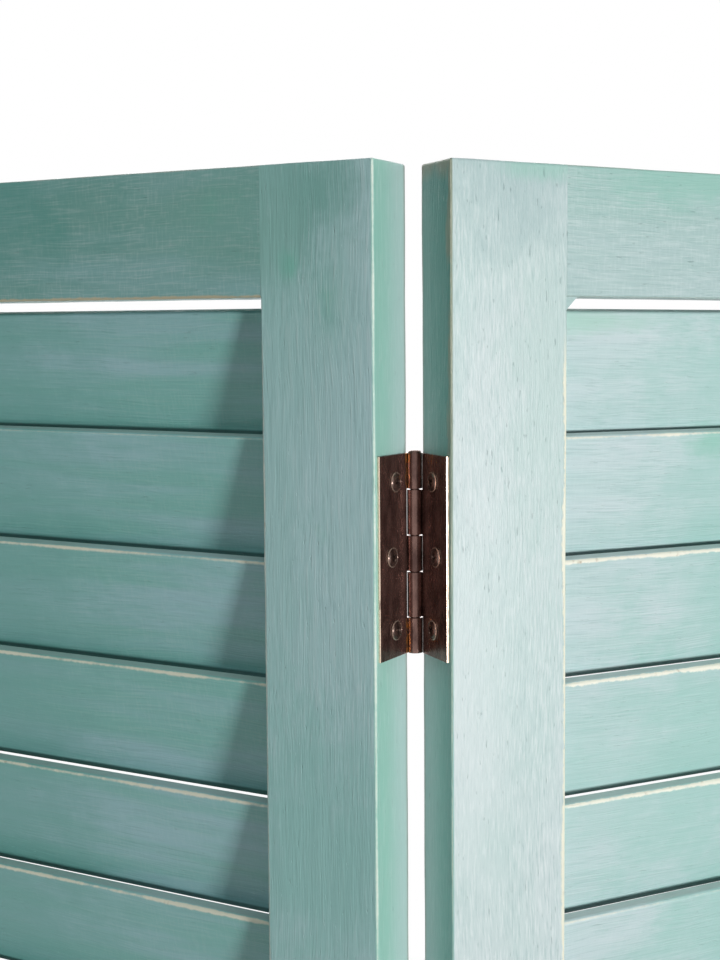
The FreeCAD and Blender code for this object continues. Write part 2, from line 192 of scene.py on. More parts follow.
def choose(piece: Piece, kind: Element, wanted: Callable[[Edge | Face], bool]) -> None:
    """Select, in edit mode, the edges or the faces that pass a test, and nothing else.

    Args:
        piece: Mesh object in edit mode.
        kind: Kind of element to select.
        wanted: Test of an edge or a face.
    """
    bpy.ops.mesh.select_mode(type=kind.value)
    bpy.ops.mesh.select_all(action="DESELECT")
    shape = bmesh.from_edit_mesh(piece.data)
    shape.normal_update()
    for element in shape.edges if kind is Element.EDGE else shape.faces:
        if wanted(element):
            element.select_set(True)
    shape.select_flush_mode()
    bmesh.update_edit_mesh(piece.data)


def span_of(edge: Edge) -> Vector:
    """Way from an edge's start to its end."""
    return edge.verts[1].co - edge.verts[0].co


def middle_of(edge: Edge) -> Vector:
    """Point halfway along an edge."""
    return (edge.verts[0].co + edge.verts[1].co) / 2


def runs(edge: Edge, axis: Vector) -> bool:
    """Whether an edge runs along an axis."""
    return abs(span_of(edge).normalized().dot(axis)) > ALONG


def slice_through(axis: Vector, place: float) -> None:
    """Cut edges into the whole mesh, in edit mode, where a plane stands across an axis."""
    bpy.ops.mesh.select_all(action="SELECT")
    bpy.ops.mesh.bisect(plane_co=axis * place, plane_no=axis)


def round_off(radius: float, segments: int, profile: float = 0.5) -> None:
    """Bevel the selected edges, in edit mode."""
    bpy.ops.mesh.bevel(offset=radius, segments=segments, profile=profile, affect="EDGES")


def push(way: tuple[float, float, float]) -> None:
    """Extrude the selected faces, in edit mode, along a way."""
    bpy.ops.mesh.extrude_region_move(TRANSFORM_OT_translate={"value": way})


def swell(scale: float, height: float) -> None:
    """Scale the selection level with the floor, in edit mode, about a point of the z axis."""
    bpy.ops.transform.resize(value=(scale, scale, 1), center_override=(0, 0, height))


def divide(piece: Piece, axis: Vector, least: float, cuts: int) -> None:
    """Divide the edges along a board into short ones, so that its faces can waver.

    Args:
        piece: Board with its rounded edges.
        axis: Way that the board runs.
        least: Shortest edge that is divided.
        cuts: Number of cuts through each edge.
    """
    with editing(piece):
        choose(piece, Element.EDGE, lambda edge: abs(span_of(edge).dot(axis)) > least)
        bpy.ops.mesh.subdivide(number_cuts=cuts)


def work(piece: Piece, kind: str, **settings: object) -> None:
    """Add a modifier to a piece and apply it.

    Args:
        piece: Mesh object to work on.
        kind: Kind of modifier.
        settings: Values of the modifier's own settings.
    """
    take_up(piece)
    modifier = piece.modifiers.new(kind.lower(), kind)
    for name, value in settings.items():
        setattr(modifier, name, value)
    bpy.ops.object.modifier_apply(modifier=modifier.name)


def cut(piece: Piece, cutters: list[Piece]) -> None:
    """Take the shapes of some cutters out of a piece, and throw the cutters away.

    Args:
        piece: Mesh object to cut.
        cutters: Closed shapes that don't touch one another.
    """
    tool = joined("cutter", cutters)
    work(piece, "BOOLEAN", object=tool, operation="DIFFERENCE", solver="EXACT")
    scrap(tool)


def scrap(piece: Piece) -> None:
    """Delete an object and its mesh."""
    bpy.data.meshes.remove(piece.data)


def copy_of(piece: Piece, name: str) -> Piece:
    """Copy a piece together with its mesh.

    Args:
        piece: Mesh object to copy.
        name: Name of the copy.

    Returns:
        The copy, which has a mesh of its own.
    """
    take_up(piece)
    bpy.ops.object.duplicate(linked=False)
    twin = bpy.context.object
    twin.name = name
    return twin


def put(piece: Piece, place: Matrix) -> None:
    """Move a piece to a place and turn, and write them into its mesh.

    Args:
        piece: Mesh object that sits at the origin.
        place: Turn and place to give it.
    """
    piece.matrix_world = place
    take_up(piece)
    bpy.ops.object.transform_apply(location=True, rotation=True, scale=True)


def joined(name: str, pieces: list[Piece]) -> Piece:
    """Join some pieces into one object.

    Args:
        name: Name of the joined object.
        pieces: Mesh objects to join.

    Returns:
        The object that now holds all their meshes.
    """
    take_up(pieces[0])
    for piece in pieces:
        piece.select_set(True)
    if len(pieces) > 1:
        bpy.ops.object.join()
    whole = bpy.context.view_layer.objects.active
    whole.name = name
    return whole


def finish_mesh(piece: Piece, smooth_below: float = 40) -> None:
    """Close a mesh's seams, turn its faces outwards and smooth its rounded edges.

    Args:
        piece: Mesh object to finish.
        smooth_below: Angle between faces, in degrees, below which an edge is shaded round.
    """
    with editing(piece):
        bpy.ops.mesh.select_all(action="SELECT")
        bpy.ops.mesh.remove_doubles(threshold=MERGE)
        bpy.ops.mesh.normals_make_consistent(inside=False)
    take_up(piece)
    bpy.ops.object.shade_smooth_by_angle(angle=math.radians(smooth_below))
    work(piece, "WEIGHTED_NORMAL", keep_sharp=True)


def mark(piece: Piece, name: str, levels: list[float] | list[bool], domain: str = "POINT") -> None:
    """Write a level, one for true, on each point or on each face of a piece under a name."""
    piece.data.attributes.new(name, "FLOAT", domain).data.foreach_set("value", levels)


def settle(piece: Piece, body: str, node: str, finish: Material) -> None:
    """Give a finished piece its material and its body, and hide the node that it stands for.

    Args:
        piece: Finished mesh object.
        body: Body that the piece moves with.
        node: Node that the piece replaces.
        finish: Material of the whole piece.
    """
    piece.data.materials.clear()
    piece.data.materials.append(finish)
    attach(piece, body)
    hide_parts(node)
    log.info("%s: %d faces", piece.name, len(piece.data.polygons))


# Finishes


@dataclass(frozen=True)
class Layer:
    """Noise that follows the grain, and the two levels that it works between.

    The cells are counted in a metre. Detail is the number of finer layers, and roughness their strength.
    """

    across: float
    along: float
    detail: float = 3
    roughness: float = 0.55
    low: float = 0.0
    high: float = 1.0


class Recipe:
    """Node tree of a material or of the surroundings, built up socket by socket."""

    def __init__(self, owner: Material | bpy.types.World) -> None:
        """Start an empty tree.

        Args:
            owner: Material or world that the tree is for.
        """
        owner.use_nodes = True
        self.tree = owner.node_tree
        self.tree.nodes.clear()

    def add(self, kind: str, inputs: dict[int | str, Value], **settings: object) -> bpy.types.NodeOutputs:
        """Add a node, set or link its inputs and set its options.

        Args:
            kind: Type of the node without its common prefix.
            inputs: Values or sockets by input name or number.
            settings: Values of the node's own options.

        Returns:
            The outputs of the new node.
        """
        node = self.tree.nodes.new(f"ShaderNode{kind}")
        for name, value in settings.items():
            setattr(node, name, value)
        for key, value in inputs.items():
            if isinstance(value, Socket):
                self.tree.links.new(value, node.inputs[key])
            else:
                node.inputs[key].default_value = value
        return node.outputs

    def vector(self, operation: str, first: Value, second: Value) -> Socket:
        """Result of an operation on two vectors."""
        return self.add("VectorMath", {0: first, 1: second}, operation=operation)[0]

    def number(self, operation: str, first: Value, second: Value = 0.0) -> Socket:
        """Result of an operation on two numbers."""
        return self.add("Math", {0: first, 1: second}, operation=operation)[0]

    def length(self, vector: Socket) -> Socket:
        """Length of a vector."""
        return self.add("VectorMath", {0: vector}, operation="LENGTH")["Value"]

    def step(self, value: Socket, low: float, high: float, top: float = 1.0) -> Socket:
        """Soft step of a number from zero at a low level to a top at a high one."""
        inputs = {"Value": value, "From Min": low, "From Max": high, "To Min": 0.0, "To Max": top}
        return self.add("MapRange", inputs, interpolation_type="SMOOTHSTEP")[0]

    def span(self, value: Socket, low: float, high: float) -> Socket:
        """Number from zero to one spread over a range."""
        return self.add("MapRange", {"Value": value, "To Min": low, "To Max": high})[0]

    def seen(self) -> Socket:
        """Whether a ray looks at a surface, straight or by a mirror or glass, and doesn't only light.

        Returns:
            Socket of one or zero.
        """
        ray = self.add("LightPath", {})
        direct = self.number("MAXIMUM", ray["Is Camera Ray"], ray["Is Glossy Ray"])
        return self.number("MAXIMUM", direct, ray["Is Transmission Ray"])


class SurfaceRecipe(Recipe):
    """Node tree of a material, with its coordinates and the way of its grain."""

    def __init__(self, name: str, grain: Grain = Grain.UPRIGHT, panel: "Panel | None" = None) -> None:
        """Start an empty material.

        Args:
            name: Name of the material.
            grain: Way that its patterns run.
            panel: Panel in whose frame they stand, if not in the screen's.
        """
        self.material = bpy.data.materials.new(name)
        super().__init__(self.material)
        self.grain = grain
        self.at = self.add("TexCoord", {})["Object"]
        if panel is not None:
            turn = Euler((0, 0, panel.turn))
            inputs = {"Vector": self.at, "Location": panel.origin(), "Rotation": turn}
            self.at = self.add("Mapping", inputs, vector_type="TEXTURE")[0]

    def attribute(self, name: str) -> Socket:
        """Number that the mesh carries under a name, or zero where it carries none."""
        return self.add("Attribute", {}, attribute_name=name)["Fac"]

    def noise(self, layer: Layer, at: Socket | None = None) -> Socket:
        """Noise whose cells follow the grain.

        Args:
            layer: Cells and finer layers of the noise.
            at: Coordinates, if not those of the tree.

        Returns:
            Socket of a number from zero to one.
        """
        across, along = layer.across, layer.along
        stretch = (across, across, along) if self.grain is Grain.UPRIGHT else (along, across, across)
        scaled = self.vector("MULTIPLY", self.at if at is None else at, stretch)
        inputs = {"Vector": scaled, "Scale": 1.0, "Detail": layer.detail, "Roughness": layer.roughness}
        return self.add("TexNoise", inputs)[0]

    def cover(self, layer: Layer, top: float = 1.0) -> Socket:
        """Share, up to a top, by which a layer covers what is under it."""
        return self.step(self.noise(layer), layer.low, layer.high, top)

    def swing(self, layer: Layer) -> Socket:
        """Noise of a layer spread from its low level to its high one."""
        return self.span(self.noise(layer), layer.low, layer.high)

    def coat(self, share: Value, under: Value, over: Value) -> Socket:
        """Lay one colour over another by a share from zero to one."""
        return self.add("Mix", {0: share, 6: under, 7: over}, data_type="RGBA", blend_type="MIX")[2]

    def relief(self, height: Socket, depth: float) -> Socket:
        """Normal of a surface whose height varies by a depth, in metres."""
        return self.add("Bump", {"Height": height, "Distance": depth, "Strength": 1.0})[0]

    def close(self, inputs: dict[str, Value]) -> Material:
        """Put a shader with some inputs, and the output, on the tree to finish the material."""
        self.add("OutputMaterial", {"Surface": self.add("BsdfPrincipled", inputs)[0]})
        return self.material


BLUE_GREY = tint("b3d0d4")
TEAL = tint("8fc2ba")
DEEP_GREEN = tint("74ad9f")
BRIGHT_TEAL = tint("5fb89d")
# partly pale brush strokes, partly painted highlights that stand for glints on the paint's ridges
PALE_STROKE_AND_GLINT = tint("f0f6f6")
SHADE_STROKE = tint("6f9c9c")
PORE = tint("5c8486")
CREAM = tint("f7f3dc")
TAN = tint("cfc09c")
BARE_BROWN = tint("b39a72")
# painted shade: grey-brown line along the rounded back corner of a stile's outer face
BACK_SHADE_GREY = tint("9c968a")
# painted shade: darker teal near the top of a stile's outer face, where less light reaches
TOP_SHADE_COAT = tint("1d897e")
# painted shade: near-black green laid at each slat's foot, where the crevice above the slat below lies in
# shade
CREVICE_SHADE = tint("1f3a38")
DUST = tint("a8b2ae")
WHITE = (1, 1, 1, 1)

# Patterns of the brushed paint
STROKES = Layer(150, 20, 4, 0.6, 0.42, 0.72)
SMUDGES = Layer(46, 30, 4, 0.6, 0.62, 0.74)
CROSSING = Layer(200, 1300, 2, low=0.48, high=0.66)
RAGGED = Layer(60, 60, 4, 0.65, -0.7, 0.7)
BROAD_WEAR = Layer(32, 32, 2, low=-0.3, high=2.3)
FINE_WEAR = Layer(420, 420, 3, 0.6, -0.7, 0.7)
BARE_TONE = Layer(220, 220, low=0.62, high=0.84)
BLUR = Layer(130, 40, 4, 0.6, -5 * MM, 5 * MM)
SWELLS = Layer(260, 26, 2)
PORES = Layer(1200, 210, 2, 0.5, 0.66, 0.75)
HAIRS_ACROSS = 2000
HAIR_WANDER = ((55.0, 1.2 * MM), (9.0, 8 * MM))
PATCH_MIDDLE = 0.64
PATCH_SHIFT = 0.28
PATCH_BLEND = 0.16

# Levels between which a step starts and is done, some with the step's height
# the pale hairs are partly paint and partly painted highlights of glints on the ridges
PALE_HAIRS_AND_GLINTS = (0.5, 0.66)
DARK_HAIRS = (0.48, 0.3)
RAGGED_HAIRS = (-0.35, 0.35)
MARK_EDGE = (1.2, 0.1)
WEAR_EDGE = (-0.35 * MM, 0.4 * MM, 0.9)
OUTER_SKIN = (0.9 * MM, 0.4 * MM, 0.92)
OUTER_TURN = (3 * MM, 17 * MM)
# painted shade along the back corner of the outer face comes in between these, to this share
BACK_SHADE_STEP = (2.2 * MM, 0.6 * MM, 0.6)
FRONT_STAIN = (2.4 * MM, 0.8 * MM)
BESIDE_RAIL = (8 * MM, 26 * MM)
SLAT_TOP = (1.0 * MM, 0.3 * MM)
BEHIND_EDGE = (1 * MM, 2 * MM, 0.6)

# Distances below the top of a panel, and above the foot of a slat, between which a coat comes in
# painted shade near the top of a stile's outer face comes in between these
TOP_SHADE_FADE = (160 * MM, 30 * MM)
STAIN_FADE = (190 * MM, 60 * MM)
TOP_STAIN = (7 * MM, 0.0)
# painted shade at a slat's foot comes in between these heights
FOOT_SHADE = (2.4 * MM, 1.5 * MM)

# Shares and depths of the paint's surface
# strength of the painted shade at a slat's foot
FOOT_SHADE_SHARE = 0.8
SLAT_TONES = (0.0, 0.25)
SWELL_DEPTH = 1.2
HOLLOW_DEPTH = 0.6
PAINT_ROUGHNESS_SWING = 0.1
PAINT_GLOSS = 0.5

# Patterns of the plated steel and of the bare beech
CLOUDS = Layer(260, 110, 4, 0.6, 0.35, 0.7)
SPECKS = Layer(1900, 900, 2, low=0.7, high=0.8)
HANDLED = Layer(700, 330, 3, 0.6, 0.42, 0.5)
BREAKS = Layer(900, 260, low=0.2, high=0.45)
SCUFFS = Layer(1900, 240, 3, 0.6)
FIBRES = Layer(700, 30, 4)
FLECKS = Layer(1600, 260, 2, low=0.62, high=0.7)


@dataclass(frozen=True)
class RubAndShadeMark:
    """Soft-edged place on a panel where another colour lies: rubbed-through coats and washes, and painted
    shade where the light falls off.

    The place and reach are in the panel's own frame, across and up.
    """

    x: float
    z: float
    reach_x: float
    reach_z: float
    colour: Colour
    strength: float


@dataclass(frozen=True)
class BrushedPaint:
    """Blue-grey glaze brushed over a teal coat on planed timber, rubbed through at the edges."""

    name: str
    glaze: Colour = BLUE_GREY
    ground: Colour = TEAL
    ground_share: float = 0.5
    stroke_share: float = 0.4
    # share of pale flecks along the hairs, partly paint and partly painted highlights of glints
    pale_share: float = 0.2
    shade_share: float = 0.2
    smudge_share: float = 0.25
    patch: tuple[float, float] = (17, 8)
    hair_length: float = 12 * MM
    cross_share: float = 0.0
    pore_share: float = 0.22
    edge_wear: float = 0.5 * MM
    inner_wear: float = 0.35 * MM
    bare: Colour = CREAM
    relief: float = 0.16 * MM
    roughness: float = 0.42
    outer_front: Colour = tint("9bd0bf")
    outer_back: Colour = tint("bfdcd8")
    outer_pale: float = 0.14
    # share of painted shade near the top of the outer face
    outer_top_shade: float = 0.0
    outer_stain: float = 0.0
    marks: tuple[RubAndShadeMark, ...] = ()


@dataclass(frozen=True)
class PaintScheme:
    """Paints of one panel's stiles, rails and slats."""

    stile: BrushedPaint
    rail: BrushedPaint
    slat: BrushedPaint


class PaintedBoard(SurfaceRecipe):
    """Node tree of a painted board or bank of slats, built up coat by coat."""

    def __init__(self, name: str, paint: BrushedPaint, panel: "Panel", grain: Grain) -> None:
        """Brush the coats on and lay the panel's own marks, rubs and painted shade, over them.

        Args:
            name: Name of the board or bank.
            paint: Its paint.
            panel: Panel in whose frame the pattern stands.
            grain: Way that the brush went.
        """
        super().__init__(f"{paint.name}_{name}", grain, panel)
        self.paint = paint
        self.timber = panel.timber
        self.hairs = self.brush()
        middle = PATCH_MIDDLE - PATCH_SHIFT * paint.ground_share
        patches = Layer(*paint.patch, 2, low=middle - PATCH_BLEND, high=middle + PATCH_BLEND)
        self.colour = self.coat(self.cover(patches), paint.glaze, paint.ground)
        self.lay(self.cover(STROKES, paint.stroke_share), paint.ground)
        self.lay(self.cover(SMUDGES, paint.smudge_share), BRIGHT_TEAL)
        # pale flecks: partly paint, partly painted highlights of glints on the ridges
        self.lay(self.step(self.hairs, *PALE_HAIRS_AND_GLINTS, paint.pale_share), PALE_STROKE_AND_GLINT)
        self.lay(self.cover(CROSSING, paint.cross_share), PALE_STROKE_AND_GLINT)
        self.lay(self.step(self.hairs, *DARK_HAIRS, paint.shade_share), SHADE_STROKE)
        self.lay_rubs_and_shade()

    def brush(self) -> Socket:
        """Fine lines that the brush hairs left, which wander off the grain.

        Returns:
            Socket of a number from zero to one.
        """
        path = self.at
        for scale, reach in HAIR_WANDER:
            drift = self.add("TexNoise", {"Vector": self.at, "Scale": scale, "Detail": 1.0})["Color"]
            aside = self.vector("SUBTRACT", drift, (0.5, 0.5, 0.5))
            path = self.vector("ADD", path, self.vector("MULTIPLY", aside, (reach, reach, reach)))
        return self.noise(Layer(HAIRS_ACROSS, 1 / self.paint.hair_length), path)

    def lay(self, share: Value, over: Value) -> None:
        """Lay a colour over the coats so far by a share."""
        self.colour = self.coat(share, self.colour, over)

    def lay_rubs_and_shade(self) -> None:
        """Lay the panel's own marks over the coats, with ragged edges: rubs, washes and painted shade."""
        if not self.paint.marks:
            return
        ragged = self.number("ADD", self.swing(RAGGED), self.span(self.hairs, *RAGGED_HAIRS))
        for rub in self.paint.marks:
            offset = self.vector("SUBTRACT", self.at, (rub.x, 0, rub.z))
            scaled = self.vector("MULTIPLY", offset, (1 / rub.reach_x, 0, 1 / rub.reach_z))
            away = self.number("ADD", self.length(scaled), ragged)
            self.lay(self.step(away, *MARK_EDGE, rub.strength), rub.colour)

    def place_parts(self) -> list[Socket]:
        """Places across, behind and up on the panel."""
        return list(self.add("SeparateXYZ", {0: self.at}))

    def gap(self, value: Socket, place: float) -> Socket:
        """Distance of a number from a place."""
        return self.number("ABSOLUTE", self.number("SUBTRACT", value, place))

    def off_faces(self, behind: Socket) -> Socket:
        """Distance from the nearer one of the panel's front and back."""
        half = self.timber.thickness / 2
        return self.gap(self.gap(behind, half), half)

    def below_top(self, up: Socket, fade: tuple[float, float], top: float) -> Socket:
        """Soft step of the height on the panel, by two distances below its top."""
        height = self.timber.height
        return self.step(up, height - fade[0], height - fade[1], top)

    def worn(self, distance: Socket, reach: Value) -> Socket:
        """Share of the paint that is rubbed off along an edge.

        Args:
            distance: Distance from the edge.
            reach: Usual width of the worn strip.

        Returns:
            Socket of a number from zero to one.
        """
        swing = self.number("ADD", self.swing(BROAD_WEAR), self.swing(FINE_WEAR))
        spare = self.number("SUBTRACT", self.number("MULTIPLY", swing, reach), distance)
        return self.step(spare, *WEAR_EDGE)

    def finished(self, wear: Socket) -> Material:
        """Add pores, bare wood and ridges, and close the tree.

        Args:
            wear: Share of the paint that is rubbed off.

        Returns:
            The finished material.
        """
        paint = self.paint
        pores = self.cover(PORES)
        self.lay(self.number("MULTIPLY", pores, paint.pore_share), PORE)
        self.lay(wear, self.coat(self.cover(BARE_TONE), paint.bare, BARE_BROWN))
        swells = self.number("MULTIPLY", self.noise(SWELLS), SWELL_DEPTH)
        height = self.number("ADD", self.hairs, swells)
        for hollow in (pores, wear):
            height = self.number("SUBTRACT", height, self.number("MULTIPLY", hollow, HOLLOW_DEPTH))
        smooth, rough = paint.roughness - PAINT_ROUGHNESS_SWING, paint.roughness + PAINT_ROUGHNESS_SWING
        return self.close({
            "Base Color": self.colour,
            "Roughness": self.span(self.hairs, smooth, rough),
            "Normal": self.relief(height, paint.relief),
            "Specular IOR Level": PAINT_GLOSS,
        })

    def rail(self, base: float) -> Material:
        """Wear a rail along its long front and back edges.

        Args:
            base: Height of the rail's lower edge.

        Returns:
            The finished material.
        """
        _, behind, up = self.place_parts()
        side = self.off_faces(behind)
        lower = self.number("MAXIMUM", side, self.gap(up, base))
        upper = self.number("MAXIMUM", side, self.gap(up, base + self.timber.rail_height))
        torn = self.worn(lower, self.paint.inner_wear)
        return self.finished(self.number("MAXIMUM", torn, self.worn(upper, self.paint.edge_wear)))

    def outer_coat(self, behind: Socket, up: Socket) -> Socket:
        """Thinner coat of a stile's outer face, stained near the top and along the front, with painted
        shade near the top and along the back corner.

        Args:
            behind: Distance behind the panel's front.
            up: Height on the panel.

        Returns:
            Socket of the colour.
        """
        paint = self.paint
        thin = self.coat(self.step(behind, *OUTER_TURN), paint.outer_front, paint.outer_back)
        # pale flecks on the outer face, partly painted highlights of glints
        thin = self.coat(self.step(self.hairs, *PALE_HAIRS_AND_GLINTS, paint.outer_pale), thin, PALE_STROKE_AND_GLINT)
        # painted shade near the top of the outer face
        thin = self.coat(self.below_top(up, TOP_SHADE_FADE, paint.outer_top_shade), thin, TOP_SHADE_COAT)
        # painted shade: a grey-brown line along the rounded back corner
        off_back = self.gap(behind, self.timber.thickness)
        thin = self.coat(self.step(off_back, *BACK_SHADE_STEP), thin, BACK_SHADE_GREY)
        blur = self.swing(BLUR)
        near_front = self.step(self.number("ADD", behind, blur), *FRONT_STAIN)
        near_front = self.number("MULTIPLY", near_front, self.below_top(up, STAIN_FADE, paint.outer_stain))
        near_top = self.below_top(self.number("ADD", up, blur), TOP_STAIN, paint.outer_stain)
        return self.coat(self.number("MAXIMUM", near_front, near_top), thin, BARE_BROWN)

    def stile(self, outer: float, inner: float) -> Material:
        """Coat a stile's outer face and wear its edges, the inner ones only between the rails.

        Args:
            outer: Place of the outer face across the panel.
            inner: Place of the inner face across the panel.

        Returns:
            The finished material.
        """
        across, behind, up = self.place_parts()
        side = self.off_faces(behind)
        off_outer = self.gap(across, outer)
        self.lay(self.step(off_outer, *OUTER_SKIN), self.outer_coat(behind, up))
        wear = self.worn(self.number("MAXIMUM", off_outer, side), self.paint.edge_wear)
        inner_edge = self.number("MAXIMUM", self.gap(across, inner), side)
        torn = self.worn(inner_edge, self.paint.inner_wear)
        half = self.timber.rail_height / 2
        near, far = BESIDE_RAIL
        for base in self.timber.rail_bases().values():
            clear = self.step(self.gap(up, base + half), half + near, half + far)
            torn = self.number("MULTIPLY", torn, clear)
        return self.finished(self.number("MAXIMUM", wear, torn))

    def slats(self) -> Material:
        """Wear each slat along its top front edge, with dust on its top and painted shade at its foot.

        Returns:
            The finished material.
        """
        self.lay(self.span(self.attribute("slat_tone"), *SLAT_TONES), self.paint.ground)
        down = self.attribute("slat_down")
        behind = self.attribute("slat_behind")
        start, end = (self.timber.slat_width - above for above in FOOT_SHADE)
        # painted shade: darken each slat's foot, where the crevice above the slat below lies in shade
        self.lay(self.step(down, start, end, FOOT_SHADE_SHARE), CREVICE_SHADE)
        dust = self.number("MULTIPLY", self.step(down, *SLAT_TOP), self.step(behind, *BEHIND_EDGE))
        self.lay(dust, DUST)
        squares = [self.number("MULTIPLY", place, place) for place in (down, behind)]
        distance = self.number("SQRT", self.number("ADD", *squares))
        reach = self.number("MULTIPLY", self.attribute("slat_wear"), self.paint.edge_wear)
        return self.finished(self.worn(distance, reach))


@dataclass(frozen=True)
class BronzedSteel:
    """Dark bronze plating on rolled steel, rubbed to copper on sheared edges and brass on the straps."""

    name: str
    plating: Colour = tint("82655d")
    shade: Colour = tint("5a433e")
    sheared: Colour = tint("ecd2bd")
    brass: Colour = tint("c08a50")
    speck_share: float = 0.35
    roughness: float = 0.25
    smoother: float = 0.12
    rougher: float = 0.14
    relief: float = 0.03 * MM
    metal: float = 0.8

    def material(self) -> Material:
        """Material of leaves, pins and screws.

        Returns:
            The finished material.
        """
        recipe = SurfaceRecipe(self.name)
        colour = recipe.coat(recipe.cover(CLOUDS), self.plating, self.shade)
        colour = recipe.coat(recipe.cover(SPECKS, self.speck_share), colour, self.brass)
        rubbed = recipe.number("MULTIPLY", recipe.cover(HANDLED), recipe.attribute("rubbed"))
        colour = recipe.coat(rubbed, colour, self.brass)
        bare = recipe.number("MULTIPLY", recipe.cover(BREAKS), recipe.attribute("sheared"))
        scuffs = recipe.noise(SCUFFS)
        return recipe.close({
            "Base Color": recipe.coat(bare, colour, self.sheared),
            "Roughness": recipe.span(scuffs, self.roughness - self.smoother, self.roughness + self.rougher),
            "Normal": recipe.relief(scuffs, self.relief),
            "Metallic": self.metal,
        })


@dataclass(frozen=True)
class BareBeech:
    """Unpainted beech of the dowels, with short flecks along the grain."""

    name: str
    pale: Colour = tint("d9b68c")
    dark: Colour = tint("b98c5e")
    fleck_share: float = 0.6
    roughness: tuple[float, float] = (0.5, 0.7)
    relief: float = 0.05 * MM
    gloss: float = 0.4

    def material(self, panel: "Panel") -> Material:
        """Material of one panel's dowels.

        Args:
            panel: Panel whose width the grain follows.

        Returns:
            The finished material.
        """
        recipe = SurfaceRecipe(f"{self.name}_{panel.name}", Grain.LEVEL, panel)
        fibres = recipe.noise(FIBRES)
        colour = recipe.coat(fibres, self.pale, self.dark)
        return recipe.close({
            "Base Color": recipe.coat(recipe.cover(FLECKS, self.fleck_share), colour, self.dark),
            "Roughness": recipe.span(fibres, *self.roughness),
            "Normal": recipe.relief(recipe.noise(FLECKS), self.relief),
            "Specular IOR Level": self.gloss,
        })


# Panels


@dataclass(frozen=True)
class SlatState:
    """How far one slat's top edge is rubbed, and how far it sits below its true place."""

    wear: float
    drop: float = 0.0


